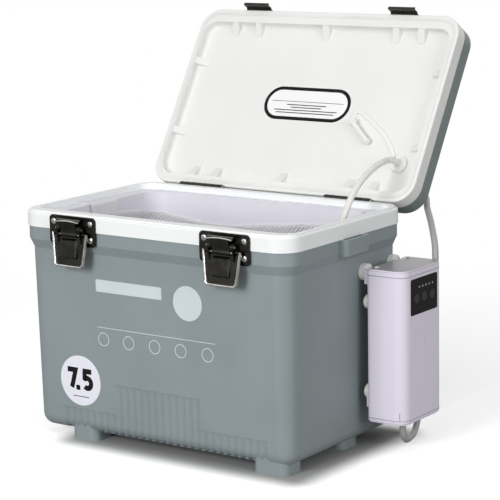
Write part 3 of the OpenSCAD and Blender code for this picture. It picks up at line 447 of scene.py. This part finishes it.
def spline(points, per):
    """A smooth line through points, with per steps from each to the next."""
    out = []
    for i in range(len(points) - 1):
        p0, p1 = points[max(i - 1, 0)], points[i]
        p2, p3 = points[i + 1], points[min(i + 2, len(points) - 1)]
        for k in range(per):
            t = k / per
            out.append(0.5 * (2 * p1 + (p2 - p0) * t + (2 * p0 - 5 * p1 + 4 * p2 - p3) * t * t
                              + (3 * p1 - p0 - 3 * p2 + p3) * t ** 3))
    return out + [points[-1]]


def heading_at(line, i):
    """The way a line runs at its point i."""
    return (line[min(i + 1, len(line) - 1)] - line[max(i - 1, 0)]).normalized()


def carried(line):
    """At each point of a line two directions square to it that don't twist."""
    side = None
    for i in range(len(line)):
        heading = heading_at(line, i)
        side = heading.cross(Vector((1, 0.02, 0.01)) if side is None else side.cross(heading)).normalized()
        yield side, heading.cross(side).normalized()


def circle(centre, a, b, radius, sides):
    """Points of a circle in the plane of directions a and b."""
    turns = [2 * math.pi * k / sides for k in range(sides)]
    return [centre + radius * (math.cos(t) * a + math.sin(t) * b) for t in turns]


def tube(name, line, radius, sides=16):
    return rings(name, [circle(p, a, b, radius, sides) for p, (a, b) in zip(line, carried(line))])


def turned(name, profile, at, axis, sides=40):
    """A piece turned about an axis; profile holds (distance along, radius) pairs."""
    axis = Vector(axis).normalized()
    a = axis.orthogonal().normalized()
    b = axis.cross(a)
    return rings(name, [circle(Vector(at) + axis * d, a, b, r, sides) for d, r in profile], smooth=30.0)


# Air line: the free hoses

OUTER_ROUTE = mm([
    (180, 43, 17.8), (180, 43, 10), (179.5, 45.5, 4), (178, 52, -1.5), (176, 62, -2.6),
    (173, 74, -1.5), (170, 84, 3), (168, 91, 11), (167, 94, 25), (167, 95, 45),
    (168, 96, 70), (171, 97.5, 95), (175.5, 99, 120), (179.5, 100, 142), (180.8, 101.2, 158),
    (178.4, 104.6, 171.6), (170.3, 115, 181.2), (159, 129.5, 190.5), (148.4, 142, 198.6),
    (138.1, 158.5, 203.2), (133.3, 163.6, 206.6), (128.5, 165.2, 212.2), (125.1, 163, 218.5),
    (124, 157.7, 223.5), (124, 152.8, 226.5)])
INNER_ROUTE = mm([
    (124, 129, 241.1), (124, 124.8, 243.6), (124, 118, 245.8), (123.5, 109, 246.2), (123, 98, 244.6),
    (122.5, 86, 241), (122, 74, 235.8), (121.5, 63, 229.2), (121, 54.5, 222), (120.5, 48, 214),
    (119.5, 42, 204), (118, 36, 190), (116, 31, 172), (113.5, 26, 148), (111, 22, 118),
    (108.5, 19, 88), (106.5, 16.5, 62), (105, 15, 50), (105, 15, 42)])
HOSE_D = 0.006
TIP = 0.0001


def run_length(points):
    return sum((b - a).length for a, b in zip(points, points[1:]))


def hose(name, route, slot, with_pieces=()):
    line = spline(route, 4)
    piece = dress(tube(name, line, HOSE_D / 2), slot)
    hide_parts(name)
    piece.name = name + "_run"
    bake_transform(piece)
    run_length(line)


hose("hose_outer", OUTER_ROUTE, "silicone_hose")


def make_air_stone():
    """A rounded stone with a narrow neck where the hose enters."""
    low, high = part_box("air_stone")
    x, y = (low.x + high.x) / 2, (low.y + high.y) / 2
    h = high.z - low.z
    profile = [(0, TIP), (0, 0.0066), (0.0004, 0.0074), (0.0012, 0.0079), (0.3 * h, 0.008),
               (h - 0.0055, 0.0079), (h - 0.0046, 0.0074), (h - 0.0041, 0.0066), (h - 0.004, 0.0034),
               (h - 0.0034, 0.0031), (h - 0.0008, 0.0028), (h, 0.0026), (h, TIP)]
    stone = turned("air_stone_body", profile, (x, y, low.z), (0, 0, 1))
    return place_on(stone, "stone_blue", "box", "air_stone")


hose("hose_inner", INNER_ROUTE, "silicone_clear",
     [make_air_stone()])


# The lid's pieces are made as on the closed lid, then swung open about the hinge line

HINGE = Vector((0, 0.09975, 0.2077))
LID_OPEN = math.radians(121.5)
OPENED = Matrix.Translation(HINGE) @ Matrix.Rotation(-LID_OPEN, 4, "X") @ Matrix.Translation(-HINGE)
RECESS_Z = 0.2183


def swung(piece):
    piece.data.transform(OPENED)
    piece.data.update()
    return piece


# Prints: thin shapes laid on a surface

def outline_strip(points, width, closed):
    """Left and right points of a flat stroke along a 2D line."""
    n = len(points)
    left, right = [], []
    for i, p in enumerate(points):
        before = points[i - 1] if i or closed else p
        after = points[(i + 1) % n] if i < n - 1 or closed else p
        d1, d2 = (p - before), (after - p)
        d1 = d1.normalized() if d1.length > 1e-9 else d2.normalized()
        d2 = d2.normalized() if d2.length > 1e-9 else d1
        m = (d1 + d2).normalized()
        normal = Vector((-m.y, m.x))
        stretch = min(1 / max(normal.dot(Vector((-d2.y, d2.x))), 0.35), 2.0)
        left.append(p + normal * width / 2 * stretch)
        right.append(p - normal * width / 2 * stretch)
    return left, right


def printed(name, strokes, fills, where, proud, slot, finish, body):
    """Ink or film. Strokes are (points, width, closed), fills are outlines.

    where(u, v, height) gives the place on the surface.
    """
    vertices, faces = [], []

    def lay(points, height):
        start = len(vertices)
        vertices.extend(where(p[0], p[1], height) for p in points)
        return list(range(start, start + len(points)))

    for points, width, closed in strokes:
        left, right = outline_strip([Vector(p) for p in points], width, closed)
        tl, tr, bl, br = lay(left, proud), lay(right, proud), lay(left, 0), lay(right, 0)
        n = len(points)
        for i in range(n if closed else n - 1):
            j = (i + 1) % n
            faces += [(tr[i], tr[j], tl[j], tl[i]), (tl[i], tl[j], bl[j], bl[i]),
                      (br[i], br[j], tr[j], tr[i])]
        if not closed:
            faces += [(tl[0], bl[0], br[0], tr[0]), (tr[-1], br[-1], bl[-1], tl[-1])]
    for points in fills:
        top, low = lay(points, proud), lay(points, 0)
        n = len(points)
        faces.append(tuple(top))
        faces += [(top[(i + 1) % n], top[i], low[i], low[(i + 1) % n]) for i in range(n)]
    piece = new_piece(name, vertices, faces, 30)
    return place_on(piece, slot, body, finish=finish)


def ring_points(cx, cy, r, count=48, start=0.0, end=360.0):
    """Points of a whole circle, or of an arc with both its ends."""
    steps = count if abs(end - start) >= 360 else count - 1
    turns = [math.radians(start + (end - start) * i / steps) for i in range(count)]
    return [(cx + r * math.cos(t), cy + r * math.sin(t)) for t in turns]


def stadium(cx, cy, w, h, count=24):
    r = h / 2
    right = ring_points(cx + w / 2 - r, cy, r, count, -90, 90)
    return right + ring_points(cx - w / 2 + r, cy, r, count, 90, 270)


def rounded(x0, y0, x1, y1, r):
    """A rectangle with rounded corners."""
    corners = ((x1 - r, y0 + r, -90), (x1 - r, y1 - r, 0), (x0 + r, y1 - r, 90), (x0 + r, y0 + r, 180))
    return [p for x, y, start in corners for p in ring_points(x, y, r, 6, start, start + 90)]


WALL_Z, WALL_STEP, WALL_TAPER, FRONT = 0.1728, 0.005, 0.003, -0.0975
WALL_LEAN = math.atan(WALL_TAPER / WALL_Z)


def on_front(x, z, out):
    """A point on the front wall, x from the middle and z up, standing out by out."""
    y = FRONT + WALL_STEP + WALL_TAPER * (WALL_Z - z) / WALL_Z
    return Vector((x, y - out * math.cos(WALL_LEAN), z - out * math.sin(WALL_LEAN)))


def flat_mm(points):
    return [(x * MM, y * MM) for x, y in points]


def strokes_mm(*lines):
    """Open strokes from (points, width) pairs in millimetres."""
    return [(flat_mm(points), width * MM, False) for points, width in lines]


SHELL_INK, FILM_INK, FILM = 0.00012, 0.0001, 0.0004


def make_front_prints():
    """A bar, a disc, a rule and five rings in pale ink."""
    rings_drawn = [(flat_mm(ring_points(x, 93.3, 6.1)), 0.0007, True) for x in (-59.5, -30, 0, 29.5, 59.5)]
    for name, strokes, fills in (
        ("front_bar", [], [flat_mm(rounded(-66, 138, 10, 149.5, 1.0))]),
        ("front_badge", [], [flat_mm(ring_points(39, 138, 16, 72))]),
        ("front_rings", strokes_mm(([(-66, 104.4), (68, 104.4)], 0.6)) + rings_drawn, []),
    ):
        printed(name, strokes, fills, on_front, SHELL_INK, "grey_shell", "print_pale", "box")


STICKER_X, STICKER_Z, STICKER_R = -0.0895, 0.050, 0.024


def on_sticker(u, v, out):
    return on_front(STICKER_X + u, STICKER_Z + v, FILM + out)


def make_sticker():
    """A round film with a thin bevelled edge, and the capacity printed on it."""
    count = 72
    vertices = [on_front(STICKER_X + x, STICKER_Z + z, out)
                for r, out in ((STICKER_R, 0), (STICKER_R, FILM * 0.7), (STICKER_R * 0.992, FILM))
                for x, z in ring_points(0, 0, r, count)]
    faces = skin_faces(count, 2) + [tuple(range(2 * count, 3 * count))]
    place_on(new_piece("capacity_sticker_disc", vertices, faces, 30), "sticker", "box", "capacity_sticker")
    bowl = [(8.2 + 4.6 * math.cos(math.radians(a)), -1.5 + 4.9 * math.sin(math.radians(a)))
            for a in range(120, -150, -15)]
    strokes = strokes_mm(([(-15.0, 9.8), (-5.4, 9.8), (-10.6, -7.5)], 5.0),
                         ([(13.6, 9.8), (5.6, 9.8), (5.2, 3.0)] + bowl, 5.0),
                         ([(-9.5, -15.2), (9.5, -15.2)], 0.7))
    dot = flat_mm(rounded(-5.4, -9.2, -0.6, -4.4, 0.8))
    printed("sticker_digits", strokes, [dot], on_sticker, FILM_INK, "sticker", "print_black", "box")


def on_panel(x, y, out):
    """A point on the floor of the lid's recess, x and y as on the closed lid, standing out of the panel."""
    return OPENED @ Vector((x, y, RECESS_Z - out))


def on_label(x, y, out):
    return on_panel(x, y, FILM + out)


def make_label():
    """A white plate with a black border, one long rule and four short rows."""
    edge = flat_mm(reversed(stadium(1, 0, 101, 36)))
    border = flat_mm(reversed(stadium(1, 0, 97.2, 32.2, 30)))
    plate = printed("lid_label_plate", [], [edge], on_panel, FILM, "label", "label", "lid")
    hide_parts("lid_label")
    rows = strokes_mm(*(([(1 - half, y), (1 + half, y)], width) for half, y, width in (
        (42, -2.2, 0.5), (23, 1.4, 0.9), (18, 4.2, 0.9), (37, 7.2, 0.9), (34, 10.0, 0.9))))
    for name, strokes in (("lid_label_border", [(border, 0.0036, True)]), ("lid_label_lines", rows)):
        printed(name, strokes, [], on_label, FILM_INK, "label", "print_black", "lid")


make_front_prints()
make_sticker()
make_label()


# Lid fittings

def make_strap():
    """A flat band with softened edges, from the grommet to the plug's head."""
    line = spline(mm([(116.5, 48.5, 0), (102.5, 30.5, 0), (84, 16, 0), (68, 6, 0), (61, 4.6, 0),
                      (58.6, 8.2, 0), (60.2, 14, 0)]), 6)
    section = [(-2.0, -0.4), (-1.4, -0.55), (1.4, -0.55), (2.0, -0.4), (2.0, 0.3), (1.5, 0.55),
               (-1.5, 0.55), (-2.0, 0.3)]
    z = RECESS_Z - 0.0008
    loops = []
    for i, p in enumerate(line):
        heading = heading_at(line, i)
        side = Vector((-heading.y, heading.x, 0))
        loops.append([Vector((p.x, p.y, z)) + side * u * MM - Vector((0, 0, v * MM)) for u, v in section])
    place_on(swung(rings("plug_strap_band", loops)), "white_rubber", "lid", "plug_strap")


def make_plug():
    """A plug lying on the panel: a round head, a stem and a barbed tip."""
    tail, tip = Vector((0.0616, 0.017, 0)), Vector((0.086, 0.038, 0))
    r, stem, n = 0.0046, 0.0028, (tip - tail).length
    at = Vector((tail.x, tail.y, RECESS_Z - 0.0003 - r))
    profile = [(0, TIP), (0, r - 0.0010), (0.0003, r - 0.0003), (0.0010, r), (0.0022, r),
               (0.0028, r - 0.0004), (0.0032, stem + 0.0005), (0.0038, stem), (n * 0.55, stem - 0.0003),
               (n - 0.0024, stem - 0.0001), (n - 0.0020, stem + 0.0006), (n - 0.0010, stem + 0.0005),
               (n - 0.0004, stem - 0.0006), (n, 0.0012), (n, TIP)]
    plug = turned("grommet_plug_body", profile, at, tip - tail)
    place_on(swung(plug), "white_rubber", "lid", "grommet_plug")


def make_grommet():
    """A rubber ring through the lid, with a lip on each face and a soft bore."""
    low, top, lip, neck, bore = RECESS_Z, 0.241, 0.00875, 0.008, 0.0019
    profile = [(low - 0.0012, bore), (low - 0.0030, bore + 0.0006), (low - 0.0031, 0.0046),
               (low - 0.0024, 0.0055), (low - 0.0024, 0.0065), (low - 0.0030, 0.0073), (low - 0.0026, 0.0083),
               (low - 0.0016, lip), (low - 0.0002, lip), (low, 0.0086), (low, neck), (top, neck),
               (top, 0.0086), (top + 0.0004, lip), (top + 0.0013, lip), (top + 0.0019, 0.0082),
               (top + 0.0020, 0.0046), (top + 0.0017, bore + 0.0004), (top, bore)]
    across, along = Vector((1, 0, 0)), Vector((0, 1, 0))
    loops = [circle(Vector((0.124, 0.056, z)), across, along, r, 44) for z, r in profile]
    piece = rings("hose_grommet_ring", loops + [loops[0]], caps=False)
    place_on(swung(piece), "white_rubber", "lid", "hose_grommet")


make_strap()
make_plug()
make_grommet()


# Net bag

LINER_W, LINER_D, LINER_Y, LINER_R = 0.259, 0.153, 0.001, 0.020
LINER_FLOOR, LINER_TAPER, FLANGE_Z = 0.025, 0.0025, 0.2005
NET_IN = 0.0017
BAG_LOW = LINER_FLOOR + 0.0022
BAG_TURN_Z, BAG_TURN = LINER_FLOOR + 0.012, 0.011


def bag_ring(z, grow=0.0):
    """Half width, half depth and corner radius of the net bag at a height."""
    lean = LINER_TAPER * (FLANGE_Z - z) / (FLANGE_Z - LINER_FLOOR)
    inset = NET_IN + lean - grow
    if z < BAG_TURN_Z:
        down = (BAG_TURN_Z - z) / (BAG_TURN + 0.0002)
        inset += BAG_TURN * (1 - math.sqrt(max(0.0, 1 - down ** 2)))
    return LINER_W / 2 - inset, LINER_D / 2 - inset, max(LINER_R - inset, 0.004)


def mouth_sides():
    """Lengths of the bag's walls and corners at its mouth, in turn from the front's left end."""
    w, d, r = bag_ring(FLANGE_Z)
    return [2 * (w - r), math.pi / 2 * r, 2 * (d - r), math.pi / 2 * r] * 2


MOUTH = mouth_sides()
ROUND = sum(MOUTH)


def on_bag(share, z, grow=0.0):
    """A point of the bag's wall: share is the part of the way round, from the front's left end."""
    w, d, r = bag_ring(z, grow)
    s = (share % 1.0) * ROUND
    corner = [(w - r, -d + r), (w - r, d - r), (-w + r, d - r), (-w + r, -d + r)]
    starts = [(-w + r, -d), (w, -d + r), (w - r, d), (-w, d - r)]
    ends = [(w - r, -d), (w, d - r), (-w + r, d), (-w, -d + r)]
    for i, length in enumerate(MOUTH):
        if s <= length or i == len(MOUTH) - 1:
            t = min(s / length, 1.0)
            if i % 2 == 0:
                a, b = starts[i // 2], ends[i // 2]
                return Vector((a[0] + (b[0] - a[0]) * t, a[1] + (b[1] - a[1]) * t + LINER_Y, z))
            c = corner[i // 2]
            angle = math.radians(-90 + 90 * (i // 2) + 90 * t)
            return Vector((c[0] + r * math.cos(angle), c[1] + r * math.sin(angle) + LINER_Y, z))
        s -= length


# The hem's height from the left end to the right

HEM = [(-0.1295, 0.1870), (-0.1210, 0.1840), (-0.0956, 0.1802), (-0.0624, 0.1762), (-0.0202, 0.1774),
       (0.0176, 0.1818), (0.0545, 0.1855), (0.1295, 0.1885)]
TAB_LIFT, TAB_SPREAD, END_X = 0.005, 0.065, 0.12
RIPPLE, RIPPLES = 0.0005, 9


def hem_z(share):
    """Height of the bag's hem: it hangs from a tab at each end and droops between them."""
    p = on_bag(share, FLANGE_Z)
    i = next((i for i in range(1, len(HEM) - 1) if p.x <= HEM[i][0]), len(HEM) - 1)
    (x0, z0), (x1, z1) = HEM[i - 1], HEM[i]
    t = min(1.0, max(0.0, (p.x - x0) / (x1 - x0)))
    lifted = TAB_LIFT * max(0.0, 1 - abs(p.y) / TAB_SPREAD) if abs(p.x) > END_X else 0.0
    return z0 + (z1 - z0) * t + lifted - RIPPLE * math.sin(share * 2 * math.pi * RIPPLES)


WALL_STEPS, WALL_RISE = 10, 1.6
BAG_DEPTH, BAG_HALF_FLOOR = 0.152, 0.050
NET_SLACK, FLOOR_SLACK = 0.99, 0.98
STRAND_PITCH, STRAND_STEP, STRAND_IN = 0.0042, 0.008, 0.0006
STRAND_THIN, STRAND_FLOOR, STRAND_THICK = 0.0003, 0.0004, 0.00055
FLOOR_STRANDS, FLOOR_SLANT = 60, 1.414


def make_net(count=160):
    """The bag: a fine veil, the strands that cross on it, and the tape round its mouth."""
    loops = []
    for j in range(WALL_STEPS + 1):
        t = (j / WALL_STEPS) ** WALL_RISE
        loops.append([on_bag(k / count, BAG_LOW + (hem_z(k / count) - BAG_LOW) * t) for k in range(count)])
    vertices = [p for loop in loops for p in loop]
    faces = skin_faces(count, WALL_STEPS) + [tuple(reversed(range(count)))]
    veil_piece = new_piece("net_bag_veil", vertices, faces, 60)
    strands = net_strands()
    hem = net_hem(count * 2)
    place_on(veil_piece, "net", "box", "net_bag", finish="net_veil")
    place_on(strands, "net", "box")
    place_on(hem, "net", "box")
    w, d, _ = bag_ring(0.1)
    area = (ROUND * BAG_DEPTH * NET_SLACK + 4 * w * d) * FLOOR_SLACK


def wall_strand(share, way):
    """One strand from low on the wall up to the hem, and its directions out of the wall."""
    points, normals, z = [], [], BAG_LOW + 0.004
    while True:
        top = hem_z(share)
        p, q = on_bag(share, min(z, top)), on_bag(share, min(z, top), -STRAND_IN)
        points.append(q)
        normals.append((q - p).normalized())
        if z >= top:
            return points, normals
        z += STRAND_STEP
        share += way * STRAND_STEP / ROUND


def floor_strand(c, way):
    """The ends of a slanting strand on the bag's floor, where it crosses it."""
    w, d, _ = bag_ring(BAG_LOW + 0.001)
    w, d, z = w - 0.006, d - 0.006, BAG_LOW + STRAND_IN
    ends = [(x, way * (x - c)) for x in (-w, w) if abs(x - c) <= d]
    ends += [(way * y + c, y) for y in (-d, d) if abs(way * y + c) < w]
    return [Vector((x, y + LINER_Y, z)) for x, y in (min(ends), max(ends))] if len(ends) >= 2 else []


def net_strands():
    vertices, faces = [], []

    def strand(points, normals, thick):
        base = len(vertices)
        for i, (p, n) in enumerate(zip(points, normals)):
            side = heading_at(points, i).cross(n).normalized() * thick * 1.2
            vertices.extend((p + side, p + n * thick, p - side))
        for a in range(base, base + 3 * (len(points) - 1), 3):
            faces.extend(((a, a + 3, a + 4, a + 1), (a + 1, a + 4, a + 5, a + 2)))

    turns = round(ROUND / STRAND_PITCH)
    for way, thick in ((1, STRAND_THIN), (-1, STRAND_THICK)):
        for k in range(turns):
            strand(*wall_strand(k / turns, way), thick)
    for k in range(-FLOOR_STRANDS, FLOOR_STRANDS + 1):
        for way in (1, -1):
            ends = floor_strand(k * STRAND_PITCH * FLOOR_SLANT, way)
            if ends:
                strand(ends, [Vector((0, 0, 1))] * 2, STRAND_FLOOR)
    return new_piece("net_bag_strands", vertices, faces, 80)


def net_hem(count):
    """Folded tape round the bag's mouth."""
    out, into, wide = 0.0004, -0.0006, 0.0026
    loops = []
    for share in (k / count for k in range(count)):
        z = hem_z(share)
        fold = ((z - wide, out), (z, out), (z + 0.0005, -0.0001), (z, into), (z - wide, into))
        loops.append([on_bag(share, height, grow) for height, grow in fold])
    return rings("net_bag_hem", loops + [loops[0]], caps=False, smooth=50)


# How far a hanging tape stands past the liner's wall, and its height, from its end inwards

TAB_PATH = [(0.0108, 0.20335), (0.006, 0.20345), (0.001, 0.2036), (-0.0012, 0.2030), (-0.0018, 0.2012),
            (-0.0019, 0.1965), (-0.0020, 0.1900), (-0.0022, 0.1830)]
TAB_HALF, TAB_EDGE, TAB_Y = 0.019, 0.0008, -0.002


def make_tabs():
    """Wide tapes that lie on the liner's flange and turn down to the hem."""
    parts = []
    for s in (-1, 1):
        line = spline([Vector((s * (LINER_W / 2 + x), 0, z)) for x, z in TAB_PATH], 3)
        loops = []
        for i, p in enumerate(line):
            heading = heading_at(line, i)
            n = Vector((heading.z, 0, -heading.x)) * s
            half = TAB_HALF - 0.0004 * math.sin(i * 0.9)
            ys = [-half, -half + TAB_EDGE, -half * 0.5, 0, half * 0.5, half - TAB_EDGE, half]
            row = [Vector((p.x, y + TAB_Y, p.z)) for y in ys]
            loops.append([q + n * 0.0004 for q in row] + [q - n * 0.0002 for q in reversed(row)])
        parts.append(rings("tab", loops, smooth=50))
    place_on(joined("net_hanger_tabs", parts), "net", "box", "net_hangers")


make_net()
make_tabs()


# Eased copies of the CAD pieces that show close to

for node, width, slot, segments in (
    ("latch_left_base", 0.0004, "black_nickel", 3), ("latch_right_base", 0.0004, "black_nickel", 3),
    ("latch_left_lever", 0.0004, "black_nickel", 3), ("latch_right_lever", 0.0004, "black_nickel", 3),
    ("latch_left_hook", 0.0003, "black_nickel", 3), ("latch_right_hook", 0.0003, "black_nickel", 3),
    ("lid_keepers", 0.0002, "black_nickel", 2), ("hinge_body_leaves", 0.0003, "black_nickel", 2),
    ("hinge_lid_leaves", 0.0003, "black_nickel", 2), ("pump_housing", 0.0004, "pump_plastic", 2),
    ("pump_bottom_cap", 0.0006, "pump_plastic", 3),
    ("pump_back_cover", 0.0004, "pump_plastic", 2), ("hanger_studs", 0.0006, "white_rubber", 3),
    ("pump_bumpers", 0.0008, "white_rubber", 3), ("control_window", 0.0003, "window_black", 2),
    ("button_power", 0.0005, "button_black", 3), ("button_mode", 0.0005, "button_black", 3),
    ("button_light", 0.0005, "button_black", 3), ("outlet_barb", 0.0003, "white_rubber", 2),
):
    softened(node, width, slot, segments)
softened("pump_top_cap", 0.0007, "pump_plastic", finish="pump_cap_painted_shade")
softened("lid_inner_panel", 0.0014, "white_panel", 4)


# Rolled edges of the latch levers and hooks, in a bright metal that paints their highlights

LATCH_X, LEVER_OUT, LEVER_Z, LEVER_TILT = 0.086, 0.004, 0.1883, math.radians(5.5)
BEAD_OUT, BEAD_HALF, BEAD_HIGH = 0.0011, 0.0013, 0.0019


def on_lever(side, u, v, out):
    """A point of a lever's tray: u across, v up, out from its back."""
    local = Matrix.Rotation(-LEVER_TILT, 3, "X") @ Vector((u, -out, v))
    return Vector((side * LATCH_X, FRONT - LEVER_OUT, LEVER_Z)) + local


def make_bead(side, body):
    """The rolled edge down both sides of a lever's tray and along its foot, bright with a painted highlight.
    """
    low, r, mid = -27.6, 5.0, 0.8
    right = [(17.3 - mid, low + r), (18.6 - mid, -12.0), (20.5 - mid, 3.8)]
    path = [(-u, v) for u, v in reversed(right)]
    path += ring_points(-17.3 + r, low + r, r - mid, 6, 200, 262)
    path += ring_points(17.3 - r, low + r, r - mid, 6, 278, 340)
    line = spline([Vector((u, v, 0)) * MM for u, v in path + right], 3)
    section = [(BEAD_HALF * u, BEAD_HIGH * v) for u, v in ring_points(0, 0, 1, 16)]
    loops = []
    for i, p in enumerate(line):
        heading = heading_at(line, i)
        loops.append([on_lever(side, p.x - heading.y * a, p.y + heading.x * a, BEAD_OUT + b)
                      for a, b in section])
    place_on(rings(body + "_bead", loops), "black_nickel", body, finish="bead_painted_highlight")


HOOK_OUT, HOOK_Z, HOOK_LEAN = 0.0052, 0.1909, math.radians(12)
LIP_HALF, LIP_OUT, LIP_RISE, LIP_BOW = 0.0136, 0.00125, 0.0136, 0.0012


def make_lip(side, body):
    """The rolled front edge of a hook's lip, a little bowed, bright with a painted highlight."""
    line = []
    for k in range(13):
        u = -1 + k / 6
        local = Vector((u * LIP_HALF, -LIP_OUT, LIP_RISE - LIP_BOW * u * u))
        turned_back = Matrix.Rotation(HOOK_LEAN, 3, "X") @ local
        line.append(Vector((side * LATCH_X, FRONT - HOOK_OUT, HOOK_Z)) + turned_back)
    place_on(tube(body + "_lip", line, 0.0007, 10), "black_nickel", body, finish="bead_painted_highlight")


for make, end in ((make_bead, "_lever"), (make_lip, "_hook")):
    make(-1, "left" + end)
    make(1, "right" + end)


# Shut lines of the pump case, drawn as dark rings of painted shade

PUMP_X, PUMP_Y, PUMP_LOW, PUMP_HIGH = (0.15793, 0.19743), (0.017, 0.087), 0.0210, 0.1626
PUMP_BACK_R, PUMP_FRONT_R = 0.0035, 0.011
TOP_CAP, BOTTOM_CAP, SEAM_R = 0.0056, 0.0042, 0.00035


def make_seams():
    """Dark rings of painted shade in the shut lines round the pump case, under its top cap and over its
    bottom cap.
    """
    (x0, x1), (y0, y1), back, front = PUMP_X, PUMP_Y, PUMP_BACK_R, PUMP_FRONT_R
    path = ring_points(x1 - front, y1 - front, front, 8, 90, 0)
    path += ring_points(x1 - front, y0 + front, front, 8, 0, -90)
    path += ring_points(x0 + back, y0 + back, back, 4, 270, 180)
    path += ring_points(x0 + back, y1 - back, back, 4, 180, 90)
    middle, up = Vector(((x0 + x1) / 2, (y0 + y1) / 2, 0)), Vector((0, 0, 1))
    parts = []
    for z in (PUMP_HIGH - TOP_CAP, PUMP_LOW + BOTTOM_CAP):
        loops = []
        for x, y in path:
            outward = (Vector((x, y, 0)) - middle).normalized()
            loops.append(circle(Vector((x, y, z)), outward, up, SEAM_R, 6))
        parts.append(rings("seam", loops + [loops[0]], caps=False))
    place_on(joined("pump_seams", parts), "pump_plastic", "box", finish="seam")


make_seams()


# CAD pieces that stay as they are

kept = {
    "grey_shell": ["outer_shell"], "lid_grey": ["lid_outer_shell"], "white_rim": ["rim_frame"],
    "liner_white": ["inner_liner"], "foam": ["body_foam", "lid_foam"], "gasket_rubber": ["lid_gasket"],
    "steel_pin": ["hinge_pins", "latch_pivots", "latch_left_pin", "latch_right_pin"],
    "screw_steel": ["hinge_body_screws", "hinge_lid_screws", "latch_screws", "keeper_screws"],
    "led": ["led_lights"], "board_green": ["circuit_board"], "cell_wrap": ["battery"],
    "motor_can": ["air_motor"], "dark_plastic": ["diaphragm_pump"],
}
for slot, members in kept.items():
    for node in members:
        dress(nodes[node], slot)


# Stage: floor, world and lamps

FLOOR_Z = -0.0085
FLOOR_LIFT, ROOM = 0.52, 0.36
PURE_WHITE = (1.0, 1.0, 1.0, 1.0)
# The second colour is a painted contact shadow on the floor near the box; the first is the floor as light
# bounces from it
BOUNCE, PAINTED_CONTACT_SHADE = (0.42, 0.42, 0.42, 1.0), (0.37, 0.37, 0.37, 1.0)
CONTACT_X, CONTACT_HALF_X, CONTACT_HALF_Y, CONTACT_FADE = 0.026, 0.121, 0.086, 0.034
WHITE_FROM, WHITE_BY = 0.35, 0.9


def make_floor():
    """A pale floor with the object's shadow and a painted soft contact shadow near the box, white farther
    out.
    """
    half = 6.0
    corners = [(-half, -half, FLOOR_Z), (half, -half, FLOOR_Z), (half, half, FLOOR_Z), (-half, half, FLOOR_Z)]
    floor = new_piece("stage_floor", corners, [(0, 1, 2, 3)])
    f = Finish("stage_white", shade(236, 236, 236), 0.9, Specular_IOR_Level=0.0)
    straight, = f.rays("Camera")
    x, y, _ = f.axes()
    plain = f.add("ShaderNodeEmission", {}, {"Color": PURE_WHITE, "Strength": 1.0}).outputs[0]
    lift = f.add("ShaderNodeEmission", {}, {"Color": PURE_WHITE, "Strength": FLOOR_LIFT}).outputs[0]
    lifted = f.add("ShaderNodeAddShader", {}, {0: f.surface.outputs[0], 1: lift}).outputs[0]
    painted_shadow = f.add("ShaderNodeBsdfDiffuse", {}, {"Color": PAINTED_CONTACT_SHADE}).outputs[0]
    bounce = f.add("ShaderNodeBsdfDiffuse", {}, {"Color": BOUNCE}).outputs[0]
    # Painted contact shadow: near the box's footprint the floor takes the darker diffuse
    beside = ((x - CONTACT_X).away() - CONTACT_HALF_X).peak(0.0)
    before = (y.away() - CONTACT_HALF_Y).peak(0.0)
    shaded = f.mixed(f.ramp(beside.apart(before), 0.0, CONTACT_FADE), painted_shadow, lifted)
    near = f.mixed(straight, bounce, shaded)
    far = straight * f.ramp(x.apart(y), WHITE_FROM, WHITE_BY)
    f.put(f.tree.nodes["Material Output"].inputs["Surface"], f.mixed(far, near, plain))
    floor.data.materials.append(f.material)


def make_world():
    """White wherever it is seen, plainly or in a gloss, and a dimmer white as light."""
    world = bpy.data.worlds.new("studio")
    bpy.context.scene.world = world
    world.use_nodes = True
    studio = Nodes(world.node_tree)
    back = studio.tree.nodes["Background"]
    back.inputs["Color"].default_value = PURE_WHITE
    room = studio.add("ShaderNodeBackground", {}, {"Color": PURE_WHITE, "Strength": ROOM}).outputs[0]
    straight, gloss, through = studio.rays("Camera", "Glossy", "Transmission")
    seen = studio.mixed(straight.peak(gloss).peak(through), room, back.outputs[0])
    studio.put(studio.tree.nodes["World Output"].inputs["Surface"], seen)


def lamp(name, at, toward, size, power):
    data = bpy.data.lights.new(name, "AREA")
    data.shape, data.size, data.size_y, data.energy = "RECTANGLE", size[0], size[1], power
    obj = bpy.data.objects.new(name, data)
    bpy.context.scene.collection.objects.link(obj)
    obj.location = at
    obj.rotation_mode = "QUATERNION"
    obj.rotation_quaternion = (Vector(toward) - Vector(at)).to_track_quat("-Z", "Y")


make_floor()
make_world()
lamp("lamp_key", (-0.15, -2.3, 0.9), (0, 0, 0.15), (0.9, 1.0), 35)
lamp("lamp_top", (0.1, -0.5, 1.9), (0, 0, 0.1), (1.2, 1.0), 4)
lamp("lamp_right", (1.9, -0.6, 0.7), (0.1, 0, 0.12), (0.8, 1.0), 11.8)

bpy.context.scene.view_settings.view_transform = "Standard"
